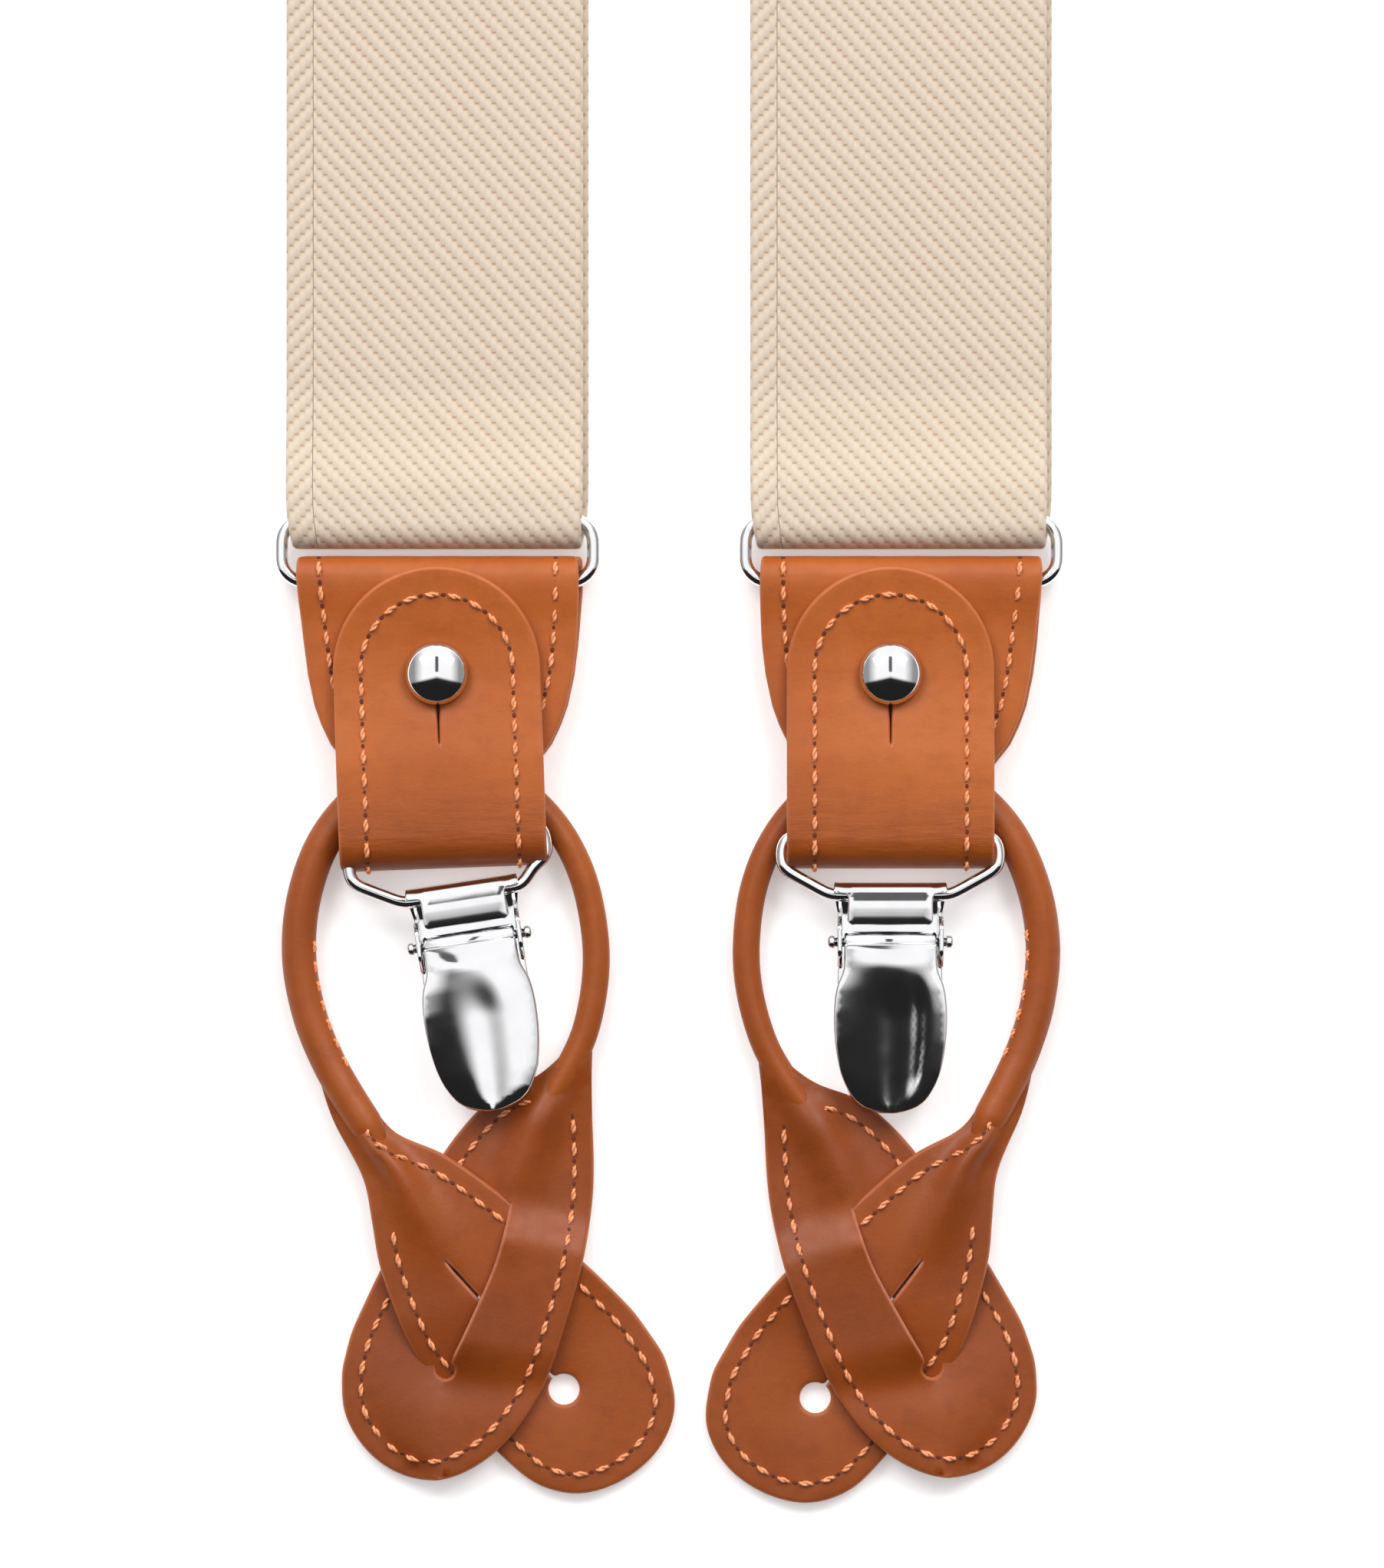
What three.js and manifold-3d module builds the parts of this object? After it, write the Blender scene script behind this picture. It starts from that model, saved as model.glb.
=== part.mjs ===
// Convertible suspenders lying flat: two front straps and one rear strap joined in a leather Y patch. Each of the
// three ends hangs from a wire ring and carries a leather tab with a buttoned flap, a rolled button loop and a clip.
// Millimetres. +Z is up from the surface, +Y runs from the front ends to the rear end, +X is the wearer's left.

import * as THREE from "three";
import { mergeVertices } from "three/addons/utils/BufferGeometryUtils.js";
import Module from "manifold-3d";

const wasm = await Module();
wasm.setup();

// ---- Driving dimensions ----
const ORIGIN_Y = 440; // how far the middle of the whole length lies above the front ends' own zero
const GAP = 0.3; // clearance between pieces that touch

const WEB_WIDTH = 38;
const WEB_THICK = 1.2;
const LEATHER = 1.5;

const STRAP_X = 29.7; // half the distance between the two front straps
const FOLD_Y = 32.7; // centre of the strap's fold round the ring
const TAIL_FRONT_END = 66;
const ADJUSTER_Y = 300;
const BEND_START_Y = 560; // where a front strap starts to lean towards the patch
const BEND_RADIUS = 200;
const BEND_ANGLE = THREE.MathUtils.degToRad(18);
const MEET_Y = BEND_START_Y + BEND_RADIUS * Math.sin(BEND_ANGLE);
const PATCH_HEIGHT = 66;
const STRAP_IN_PATCH = 44;
const REAR_Y = 880; // the rear end's own zero, measured from the front ends' zero
const REAR_TAIL_END = 75;

const RING_Y = 29.9;
const RING_HALF_LENGTH = 19.6;
const RING_HALF_HEIGHT = 3.9;
const RING_CORNER = 1.5; // tight, so that the straps and tabs turn freely on the straight bars
const RING_WIRE = 0.9;
const RING_Z = 2.7;

const TAB_HALF = 18.1;
const FLAP_HALF = 13.25;
const STUD_Y = 14.1;
const STUD_HEAD = 4;
const BEND_Y = -7.07; // centre of the tab's lower fold
const BEND_Z = 3.825;
const BEND_MID = 3.075;

const CORD = 1.9; // radius of the rolled leather cord
const CORD_LIFT = 1.8;
const PADDLE = 13.4;
const HOLE = 2;
const SLIT = 0.35;

const WIRE = 0.8;
const WIRE_Z = 5;
const WIRE_TOP_Y = -5.6;
const WIRE_LOW_Y = -14.2;
const PIN_Y = -20.2;
const PIN_Z = 5.4;
const PLATE = 0.6;
const CLIP_TIP_Y = -42;

// One row for each end: where it lies, and how its pieces happen to hang at rest.
const ENDS = [
  { name: "left", x: -STRAP_X, y: 0, turn: 0, mirror: true, ringShift: 0, lean: 2.1, loopSwing: 4.8, clipSwing: 8.5, clipShift: 2 },
  { name: "right", x: STRAP_X - 1.45, y: 0, turn: 0, mirror: false, ringShift: 1.45, lean: 0, loopSwing: 0, clipSwing: 0, clipShift: 0 },
  { name: "rear", x: 0, y: REAR_Y, turn: 180, mirror: false, ringShift: 0, lean: 0, loopSwing: 0, clipSwing: 0, clipShift: 0 },
];

// ---- Materials ----
const finish = (color, roughness, metalness) => new THREE.MeshStandardMaterial({ color, roughness, metalness });
const webbing = finish(0xe0cfb9, 0.95, 0);
const leather = finish(0xb26b3f, 0.5, 0);
const chrome = finish(0xd8d8da, 0.12, 1);
const rubber = finish(0x2a2a2c, 0.8, 0);

// ---- Mesh helpers ----
const lerp = (a, b, t) => a + (b - a) * t;

// Reads a list of [position, value] pairs as a smooth curve; positions rise.
function ease(table, at) {
  if (at <= table[0][0]) return table[0][1];
  for (let i = 1; i < table.length; i++) {
    const [low, a] = table[i - 1];
    const [high, b] = table[i];
    if (at <= high) return lerp(a, b, THREE.MathUtils.smoothstep(at, low, high));
  }
  return table.at(-1)[1];
}

// A closed body swept through rings of points; the ends are closed with their own outline, unless the sweep is a loop.
function sweep(rings, loop = false) {
  const sides = rings[0].length;
  const positions = rings.flat(2);
  const index = [];
  const steps = loop ? rings.length : rings.length - 1;
  for (let i = 0; i < steps; i++) {
    const near = i * sides;
    const far = ((i + 1) % rings.length) * sides;
    for (let k = 0; k < sides; k++) {
      const next = (k + 1) % sides;
      index.push(near + k, far + k, near + next, near + next, far + k, far + next);
    }
  }
  if (!loop) {
    const last = (rings.length - 1) * sides;
    for (let k = 1; k < sides - 1; k++) {
      index.push(0, k, k + 1);
      index.push(last, last + k + 1, last + k);
    }
  }
  const geometry = new THREE.BufferGeometry();
  geometry.setAttribute("position", new THREE.Float32BufferAttribute(positions, 3));
  geometry.setIndex(index);
  return geometry;
}

// A flat strip bent along a path in the YZ plane. Each step is { y, z, left, right }, and the strip's thickness lies
// half on each side of the path. Place moves each finished point, as for a strip that leans or curves in plan.
function strip(path, thickness, place = (p) => p) {
  const rings = path.map((step, i) => {
    const before = path[Math.max(i - 1, 0)];
    const after = path[Math.min(i + 1, path.length - 1)];
    const along = new THREE.Vector2(after.y - before.y, after.z - before.z).normalize();
    const ny = -along.y * (thickness / 2);
    const nz = along.x * (thickness / 2);
    return [
      [step.left, step.y - ny, step.z - nz],
      [step.right, step.y - ny, step.z - nz],
      [step.right, step.y + ny, step.z + nz],
      [step.left, step.y + ny, step.z + nz],
    ].map(place);
  });
  return sweep(rings);
}

// Steps of an arc in the YZ plane, for a strip's path.
function arc(cy, cz, radius, from, to, steps, half) {
  return Array.from({ length: steps + 1 }, (_, i) => {
    const a = THREE.MathUtils.degToRad(lerp(from, to, i / steps));
    const h = typeof half === "function" ? half(i / steps) : half;
    return { y: cy + radius * Math.cos(a), z: cz + radius * Math.sin(a), left: -h, right: h };
  });
}

const level = (y, z, half) => ({ y, z, left: -half, right: half });

// A round wire bent into a closed loop of points in one plane of height z.
function wireLoop(points, radius, z, sides = 8) {
  const rings = points.map(([x, y], i) => {
    const before = points.at(i - 1);
    const after = points[(i + 1) % points.length];
    const along = new THREE.Vector2(after[0] - before[0], after[1] - before[1]).normalize();
    return Array.from({ length: sides }, (_, k) => {
      const a = (2 * Math.PI * k) / sides;
      const out = radius * Math.cos(a);
      return [x + along.y * out, y - along.x * out, z + radius * Math.sin(a)];
    });
  });
  return sweep(rings, true);
}

function arcPoints(cx, cy, radius, from, to, steps) {
  return Array.from({ length: steps + 1 }, (_, i) => {
    const a = THREE.MathUtils.degToRad(lerp(from, to, i / steps));
    return [cx + radius * Math.cos(a), cy + radius * Math.sin(a)];
  });
}

// A plate cut to an outline of points, lying between two heights.
function plate(points, low, high) {
  const shape = new THREE.Shape(points.map(([x, y]) => new THREE.Vector2(x, y)));
  const geometry = new THREE.ExtrudeGeometry(shape, { depth: high - low, bevelEnabled: false });
  return geometry.translate(0, 0, low);
}

function block(x0, x1, y0, y1, z0, z1) {
  const geometry = new THREE.BoxGeometry(x1 - x0, y1 - y0, z1 - z0);
  return geometry.translate((x0 + x1) / 2, (y0 + y1) / 2, (z0 + z1) / 2);
}

// A cylinder along X or Z.
function rod(axis, radius, from, to, a, b, sides = 12) {
  const geometry = new THREE.CylinderGeometry(radius, radius, to - from, sides);
  if (axis === "x") return geometry.rotateZ(Math.PI / 2).translate((from + to) / 2, a, b);
  return geometry.rotateX(Math.PI / 2).translate(a, b, (from + to) / 2);
}

// ---- Joins and cuts ----
function solid(geometry) {
  const bare = new THREE.BufferGeometry();
  bare.setAttribute("position", geometry.getAttribute("position"));
  if (geometry.index) bare.setIndex(geometry.index);
  const merged = mergeVertices(bare, 1e-3);
  const vertProperties = new Float32Array(merged.attributes.position.array);
  return new wasm.Manifold(new wasm.Mesh({ numProp: 3, vertProperties, triVerts: new Uint32Array(merged.index.array) }));
}

function geometryOf(body) {
  const made = body.getMesh();
  const geometry = new THREE.BufferGeometry();
  geometry.setAttribute("position", new THREE.Float32BufferAttribute(made.vertProperties, 3));
  geometry.setIndex([...made.triVerts]);
  return geometry;
}

const join = (...parts) => geometryOf(parts.map(solid).reduce((a, b) => a.add(b)));
const cut = (part, ...tools) => geometryOf(tools.map(solid).reduce((a, b) => a.subtract(b), solid(part)));

const group = new THREE.Group();
group.position.y = -ORIGIN_Y;

function add(parent, name, geometry, material) {
  geometry.computeVertexNormals();
  const mesh = new THREE.Mesh(geometry, material.clone());
  mesh.name = name;
  parent.add(mesh);
}

// ---- Straps ----
const WEB_HALF = WEB_WIDTH / 2;
const FOLD_HALF = 17.8; // the webbing is squeezed a little where it passes through the ring
const FOLD_EDGE = 18.3; // narrow enough to pass between the ring's ends as it swings
const FOLD_MID = 2.1;
const squeeze = (t) => lerp(FOLD_HALF, FOLD_EDGE, Math.abs(2 * t - 1) ** 2);

// The webbing's path round the ring, from the back layer to the front layer.
function ringFold() {
  return [
    level(FOLD_Y + 16, 0.6, WEB_HALF),
    level(FOLD_Y + 9, 0.6, FOLD_EDGE),
    ...arc(FOLD_Y, RING_Z, FOLD_MID, 270, 90, 8, squeeze),
    level(38, 4.4, FOLD_EDGE),
    level(43, 3.4, FOLD_EDGE),
    level(50, 2.1, WEB_HALF),
  ];
}

function frontTail() {
  const loop = arc(ADJUSTER_Y - 6, 2.25, 1.65, 90, -90, 6, WEB_HALF - 0.6);
  const path = [level(ADJUSTER_Y - 16, 3.9, WEB_HALF - 0.6), ...loop, level(ADJUSTER_Y - 20, 0.6, WEB_HALF)];
  return strip([...path, ...ringFold(), level(TAIL_FRONT_END, 2.1, WEB_HALF)], WEB_THICK);
}

// Height of a front strap's mid line: over the tail, over the adjuster's bar, on the surface, and up into the patch.
const FRONT_HEIGHTS = [
  [262, 2.1],
  [281, 5.4],
  [318, 5.4],
  [340, 0.6],
  [606, 0.6],
  [616, 2.4],
];

// The front strap on the +X side, given about the object's own middle line.
function frontStrap() {
  const rings = [];
  const ring = (x, y, angle) => {
    const across = [Math.cos(angle), Math.sin(angle)];
    const mid = ease(FRONT_HEIGHTS, y);
    const point = (side, z) => {
      const px = x + side * WEB_HALF * across[0];
      return [Math.max(px, GAP), y + side * WEB_HALF * across[1], z];
    };
    const low = mid - WEB_THICK / 2;
    const high = mid + WEB_THICK / 2;
    rings.push([point(-1, low), point(1, low), point(1, high), point(-1, high)]);
  };
  for (const y of [TAIL_FRONT_END + GAP, 262, 268, 275, 281, 300, 318, 325, 333, 340, 450]) ring(STRAP_X, y, 0);
  for (let i = 0; i <= 6; i++) {
    const a = (BEND_ANGLE * i) / 6;
    ring(STRAP_X - BEND_RADIUS * (1 - Math.cos(a)), BEND_START_Y + BEND_RADIUS * Math.sin(a), a);
  }
  const endX = STRAP_X - BEND_RADIUS * (1 - Math.cos(BEND_ANGLE));
  for (const t of [10, STRAP_IN_PATCH / 2, STRAP_IN_PATCH]) {
    ring(endX - t * Math.tan(BEND_ANGLE), MEET_Y + t, BEND_ANGLE);
  }
  return sweep(rings);
}

const mirrorX = (geometry) => {
  const mirrored = geometry.clone().scale(-1, 1, 1);
  const index = [...mirrored.index.array];
  for (let i = 0; i < index.length; i += 3) [index[i + 1], index[i + 2]] = [index[i + 2], index[i + 1]];
  mirrored.setIndex(index);
  return mirrored;
};

function rearStrap() {
  const patchTop = REAR_Y - MEET_Y - STRAP_IN_PATCH - GAP * 12;
  const path = [
    level(REAR_TAIL_END, 0.6, WEB_HALF),
    ...ringFold(),
    level(REAR_TAIL_END + 3, 2.1, WEB_HALF),
    level(REAR_TAIL_END + 14, 0.6, WEB_HALF),
    level(patchTop - 30, 0.6, WEB_HALF),
    level(patchTop - 20, 2.4, WEB_HALF),
    level(patchTop, 2.4, WEB_HALF),
  ];
  return strip(path, WEB_THICK);
}

// ---- Y patch ----
function patchOutline() {
  const right = [
    [0, MEET_Y - 6],
    [39, MEET_Y + 6.5],
    [42.6, MEET_Y + 10],
    [43, MEET_Y + 15],
    [24.4, MEET_Y + PATCH_HEIGHT - 6],
    [21, MEET_Y + PATCH_HEIGHT],
  ];
  return [...right, ...right.slice(1).reverse().map(([x, y]) => [-x, y])];
}

// ---- Adjuster ----
const ADJUSTER_HALF = 21.2;
const ADJUSTER_PIN_Z = 9.2;

function adjusterFrame() {
  const top = cut(block(-ADJUSTER_HALF, ADJUSTER_HALF, -11, 13, 6.4, 7.2), block(-16, 16, -3, 4, 5, 9));
  const wall = (side) => {
    const outer = side * (ADJUSTER_HALF + 0.8);
    const inner = side * (ADJUSTER_HALF - 0.01);
    return block(Math.min(outer, inner), Math.max(outer, inner), -11, 13, 1.2, 7.2);
  };
  const ear = (side) => block(side * 19.4 - 0.5, side * 19.4 + 0.5, 2.5, 9.5, 7.1, 11);
  const bar = rod("x", 0.75, -ADJUSTER_HALF - 0.3, ADJUSTER_HALF + 0.3, -6, 2.25, 10);
  const frame = join(top, wall(1), wall(-1), ear(1), ear(-1), bar);
  return cut(frame, rod("x", 1.15, -25, 25, 6, ADJUSTER_PIN_Z, 10));
}

function adjusterLever() {
  const body = join(block(-17.6, 17.6, -10, 6, 10.1, 10.9), rod("x", 1.7, -17.6, 17.6, 6, ADJUSTER_PIN_Z, 10));
  return cut(body, rod("x", 1.15, -25, 25, 6, ADJUSTER_PIN_Z, 10));
}

for (const [name, side] of [["left", -1], ["right", 1]]) {
  const strap = frontStrap();
  add(group, `${name}_front_strap`, side < 0 ? mirrorX(strap) : strap, webbing);
  const lane = new THREE.Group();
  lane.position.x = side * STRAP_X;
  group.add(lane);
  add(lane, `${name}_strap_tail`, frontTail(), webbing);
  const slide = new THREE.Group();
  slide.position.y = ADJUSTER_Y;
  lane.add(slide);
  add(slide, `${name}_adjuster_frame`, adjusterFrame(), chrome);
  add(slide, `${name}_adjuster_lever`, adjusterLever(), chrome);
  add(slide, `${name}_adjuster_pin`, rod("x", 0.85, -20.6, 20.6, 6, ADJUSTER_PIN_Z, 10), chrome);
}
add(group, "patch_back", plate(patchOutline(), 0, LEATHER), leather);
add(group, "patch_front", plate(patchOutline(), 3.3, 3.3 + LEATHER), leather);

// ---- Tab and flap ----
// The tab: front layer, fold round the ring, back layer, neck waisted for the loop, and the lower fold.
const TAB_EDGE = [
  [-1, 8.2],
  [4, FLAP_HALF],
  [8, 14.3],
  [18, 17.3],
  [26, TAB_HALF],
];
// Half width round the lower fold, whose corners are rounded to clear the clip's wire.
const BEND_EDGE = [
  [0, 8.2],
  [0.5, 10.5],
  [0.65, 11.2],
  [0.8, 12.2],
  [1, FLAP_HALF],
];
const tabLevel = (y, z) => level(y, z, ease(TAB_EDGE, y));

function tab(end) {
  const lean = THREE.MathUtils.degToRad(end.lean);
  const place = ([x, y, z]) => {
    if (y > STUD_Y) return [x + (end.ringShift * (y - STUD_Y)) / (RING_Y - STUD_Y), y, z];
    const dy = y - STUD_Y;
    return [x * Math.cos(lean) - dy * Math.sin(lean), STUD_Y + x * Math.sin(lean) + dy * Math.cos(lean), z];
  };
  const path = [
    tabLevel(5, 3.65),
    tabLevel(10, 3.65),
    tabLevel(16, 3.65),
    tabLevel(21, 3.9),
    tabLevel(24.5, 4.4),
    ...arc(26.6, RING_Z, 1.95, 90, -90, 8, (t) => lerp(17.6, TAB_HALF, Math.abs(2 * t - 1))),
    tabLevel(18, 0.75),
    tabLevel(8, 0.75),
    tabLevel(4, 0.75),
    tabLevel(1.5, 0.75),
    tabLevel(-1, 0.75),
    ...arc(BEND_Y, BEND_Z, BEND_MID, 270, 90, 10, (t) => ease(BEND_EDGE, t)),
  ];
  const hole = rod("z", 1.6, 2, 5, 0, STUD_Y);
  return cut(strip(path, LEATHER, place), hole);
}

function flap() {
  const round = (y) => {
    const over = y - (28 - FLAP_HALF);
    return over <= 0 ? FLAP_HALF : Math.sqrt(Math.max(FLAP_HALF ** 2 - over ** 2, 1));
  };
  const heights = [
    [3, BEND_Z + BEND_MID],
    [11, 5.45],
    [16, 5.45],
    [28, 6.5],
  ];
  const stations = [BEND_Y + GAP, 3, 5, 7, 9, 11, 16, 19, 22, 24, 26, 27.2, 27.9];
  const path = stations.map((y) => level(y, ease(heights, y), round(y)));
  const slit = block(-SLIT, SLIT, 4.9, STUD_Y, 3, 9);
  return cut(strip(path, LEATHER), rod("z", STUD_HEAD + 0.8, 3, 9, 0, STUD_Y, 16), slit);
}

function stud() {
  const profile = [[0, 7.4], [1.5, 7.4], [1.5, 4.7], [2.9, 4.7], [2.9, 5.1], [1.9, 5.1], [1.9, 6.5], [3.4, 6.5]];
  const dome = [[STUD_HEAD, 6.9], [3.8, 7.7], [3, 8.6], [1.7, 9.1], [0, 9.3]];
  const points = [...profile, ...dome].map(([r, z]) => new THREE.Vector2(r, z));
  return new THREE.LatheGeometry(points, 14).rotateX(Math.PI / 2).translate(0, STUD_Y, 0);
}

function studScrew() {
  return join(rod("z", 3, 1.8, 2.6, 0, STUD_Y), rod("z", 1.15, 2.5, 7.1, 0, STUD_Y));
}

// ---- Ring ----
function ring() {
  const x = RING_HALF_LENGTH - RING_CORNER;
  const y = RING_HALF_HEIGHT - RING_CORNER;
  const right = [
    ...arcPoints(x, RING_Y - y, RING_CORNER, -90, 0, 4),
    ...arcPoints(x, RING_Y + y, RING_CORNER, 0, 90, 4),
  ];
  const left = right.map(([px, py]) => [-px, 2 * RING_Y - py]);
  return wireLoop([...right, ...left], RING_WIRE, RING_Z);
}

// ---- Button loop ----
// Mid line of the rolled cord, from the front arm's side to the rear arm's side: [x, y, z].
const CORD_PATH = [
  [-10.2, -43, 1.5],
  [-13.9, -38, 1.9],
  [-16.2, -33.6, 2],
  [-17.9, -27, 2],
  [-18.4, -21, 2.1],
  [-17.6, -14, 2.3],
  [-15.4, -8, 2.4],
  [-11.8, -3, 2.5],
  [-7.5, 0.3, 3.7],
  [0, 2, 3.6],
  [7.5, 0.5, 3.7],
  [11.9, -2.4, 2.5],
  [15.9, -7.3, 2.4],
  [18.6, -14, 2.3],
  [19.6, -21, 2.1],
  [18.9, -28, 2],
  [16.8, -34.5, 2],
  [14, -39.6, 2.2],
  [10.6, -44.5, 2.5],
];

// Each arm's flat leaf: pairs of [outer edge, inner edge] down to the paddle, the slit's line, and the paddle's centre.
const FRONT_LEAF = {
  edges: [
    [[-16.6, -38], [-11.4, -38.2]],
    [[-16.5, -42.5], [-5.3, -41.6]],
    [[-15.9, -48], [0.1, -44.8]],
    [[-15.1, -54.2], [4.2, -49]],
    [[-13.5, -61.2], [8.3, -54.5]],
    [[-11.5, -67.6], [12.8, -61.3]],
    [[-9.2, -72.5], [16.2, -66.8]],
  ],
  slit: [[-4.6, -53.5], [-1, -60.2], [2.5, -67.6], [5.4, -74.7]],
  centre: [5.4, -74.7],
  heading: -65,
};
const REAR_LEAF = {
  edges: [
    [[17.3, -40.2], [11.8, -38.9]],
    [[15.4, -45.5], [7.7, -44]],
    [[13.3, -50.4], [0.4, -48.4]],
    [[13, -56.5], [-4.3, -53.2]],
    [[12.2, -64], [-8.7, -57.8]],
    [[8.8, -71], [-13.1, -62.3]],
    [[5.9, -76], [-18, -69.5]],
  ],
  slit: [[4.3, -60.7], [-2.6, -69.7], [-9.6, -78.8]],
  centre: [-9.6, -78.8],
  heading: -112,
};

// Height of each leaf's underside. The rear arm lies on the front arm's inner lip and passes under its outer lip.
function frontLeafHeight(side, along) {
  const lens = Math.sin(Math.PI * THREE.MathUtils.clamp((along - 0.42) / 0.5, 0, 1));
  const paddle = THREE.MathUtils.smoothstep(along, 0.72, 0.95);
  if (side < 0) return Math.max(3.6 * Math.sqrt(lens) * (1 + 0.45 * side), 1.9 * paddle);
  return 1.9 * paddle * (1 - side);
}

function rearLeafHeight(side, along) {
  return 1.8 * (1 - THREE.MathUtils.smoothstep(along, 0.62, 0.85));
}

// A flat leaf, and the tools that cut its slit and the round hole at the slit's end. Sections run from the cord down
// to the paddle's round end, and six columns lie across each, two of them close beside the slit.
function leaf(shape, height) {
  const { edges, slit, centre, heading } = shape;
  const angle = THREE.MathUtils.degToRad(heading);
  const down = [Math.cos(angle), Math.sin(angle)];
  const side = Math.sign(edges[0][1][0] - edges[0][0][0]);
  const inward = [-down[1] * side, down[0] * side];
  const sections = edges.map(([outer, inner]) => ({ outer, inner }));
  for (const t of [0, 0.3, 0.6, 0.85, 0.98]) {
    const half = PADDLE * Math.sqrt(1 - t * t);
    const c = [centre[0] + down[0] * PADDLE * t, centre[1] + down[1] * PADDLE * t];
    const point = (s) => [c[0] + inward[0] * half * s, c[1] + inward[1] * half * s];
    sections.push({ outer: point(-1), inner: point(1) });
  }
  const line = new THREE.CatmullRomCurve3(slit.map(([x, y]) => new THREE.Vector3(x, y, 0)));
  const cutLine = line.getPoints(8);
  const bands = cutLine.map((p, i) => {
    const before = cutLine[Math.max(i - 1, 0)];
    const after = cutLine[Math.min(i + 1, cutLine.length - 1)];
    const d = new THREE.Vector2(after.x - before.x, after.y - before.y).normalize();
    const open = i === 0 ? 0.05 : SLIT;
    return { p, x: -d.y * open, y: d.x * open };
  });
  const outline = [
    ...bands.map(({ p, x, y }) => [p.x + x, p.y + y]),
    ...bands.toReversed().map(({ p, x, y }) => [p.x - x, p.y - y]),
  ];
  const tools = [plate(outline, -1, 9), rod("z", HOLE, -1, 9, centre[0], centre[1])];
  const columns = [-1, -0.5, -0.06, 0.06, 0.5, 1];
  const rings = sections.map((row, i) => {
    const along = i / (sections.length - 1);
    const at = (s, lift) => {
      const t = (s + 1) / 2;
      const z = height(s, along) + lift;
      return [lerp(row.outer[0], row.inner[0], t), lerp(row.outer[1], row.inner[1], t), z];
    };
    return [...columns.map((s) => at(s, 0)), ...columns.toReversed().map((s) => at(s, LEATHER))];
  });
  const ordered = side > 0 ? rings.map((r) => r.toReversed()) : rings;
  return { body: leafSweep(ordered), tools };
}

// A sweep whose end outlines are strips, not fans: the columns of the two faces are paired.
function leafSweep(rings) {
  const sides = rings[0].length;
  const geometry = sweep(rings);
  const index = [...geometry.index.array].slice(0, (rings.length - 1) * sides * 6);
  const half = sides / 2;
  const cap = (base, flip) => {
    for (let k = 0; k < half - 1; k++) {
      const quad = [base + k, base + k + 1, base + sides - 2 - k, base + sides - 1 - k];
      const [a, b, c, d] = quad;
      index.push(...(flip ? [a, c, b, a, d, c] : [a, b, c, a, c, d]));
    }
  };
  cap(0, false);
  cap((rings.length - 1) * sides, true);
  geometry.setIndex(index);
  return geometry;
}

function cord() {
  const curve = new THREE.CatmullRomCurve3(CORD_PATH.map((p) => new THREE.Vector3(...p)));
  const points = curve.getPoints(30);
  const rings = points.map((p, i) => {
    const before = points[Math.max(i - 1, 0)];
    const after = points[Math.min(i + 1, points.length - 1)];
    const d = new THREE.Vector2(after.x - before.x, after.y - before.y).normalize();
    const end = Math.min(i, points.length - 1 - i);
    const tall = end === 0 ? 0.5 : end === 1 ? 1.2 : CORD_LIFT;
    return Array.from({ length: 8 }, (_, k) => {
      const a = (2 * Math.PI * k) / 8;
      return [p.x + d.y * CORD * Math.cos(a), p.y - d.x * CORD * Math.cos(a), p.z + tall * Math.sin(a)];
    });
  });
  return sweep(rings);
}

function buttonLoop() {
  const front = leaf(FRONT_LEAF, frontLeafHeight);
  const rear = leaf(REAR_LEAF, rearLeafHeight);
  const frontBody = front.tools.map(solid).reduce((a, b) => a.subtract(b), solid(front.body));
  const rearBody = rear.tools.map(solid).reduce((a, b) => a.subtract(b), solid(rear.body));
  return geometryOf(solid(cord()).add(frontBody).add(rearBody));
}

// ---- Clip ----
function clipWire() {
  const corner = 2;
  const points = [
    ...arcPoints(12.2, WIRE_TOP_Y - corner, corner, 90, 0, 4),
    ...arcPoints(12.6, -9.6, 1.6, 0, -60, 3),
    [7.9, WIRE_LOW_Y],
  ];
  const left = points.toReversed().map(([x, y]) => [-x, y]);
  return wireLoop([...points, ...left], WIRE, WIRE_Z);
}

const JAW_EDGE = [
  [CLIP_TIP_Y, 1.5],
  [CLIP_TIP_Y + 1.5, 4.2],
  [-37, 6.4],
  [-32, 7],
  [-24, 6.7],
  [-18, 6.3],
];
const jawLevel = (y, z, shrink) => level(y, z, ease(JAW_EDGE, y) - shrink);

function clipBody() {
  const tongue = [CLIP_TIP_Y, -40.5, -37, -32, -24, -18].map((y) => jawLevel(y, 2.7, 0));
  const wrap = arc(WIRE_LOW_Y, WIRE_Z, WIRE + GAP + PLATE / 2, -90, 90, 8, 7.2);
  const front = [level(-15.6, 6.3, 7.2), level(-15.7, 6.3, 5.4), level(-18.4, 6.2, 5.4)];
  const sheet = strip([...tongue, level(-16, 3, 6.8), ...wrap, ...front], PLATE);
  const ear = (side) => block(side * 6.5 - 0.3, side * 6.5 + 0.3, -23.4, -16.8, 2.7, 7);
  return cut(join(sheet, ear(1), ear(-1)), rod("x", 0.9, -9, 9, PIN_Y, PIN_Z, 10));
}

function clipPin() {
  const heads = [-1, 1].map((side) => rod("x", 1.2, side * 7.45 - 0.35, side * 7.45 + 0.35, PIN_Y, PIN_Z, 10));
  return join(rod("x", 0.6, -7.3, 7.3, PIN_Y, PIN_Z, 10), ...heads);
}

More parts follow.
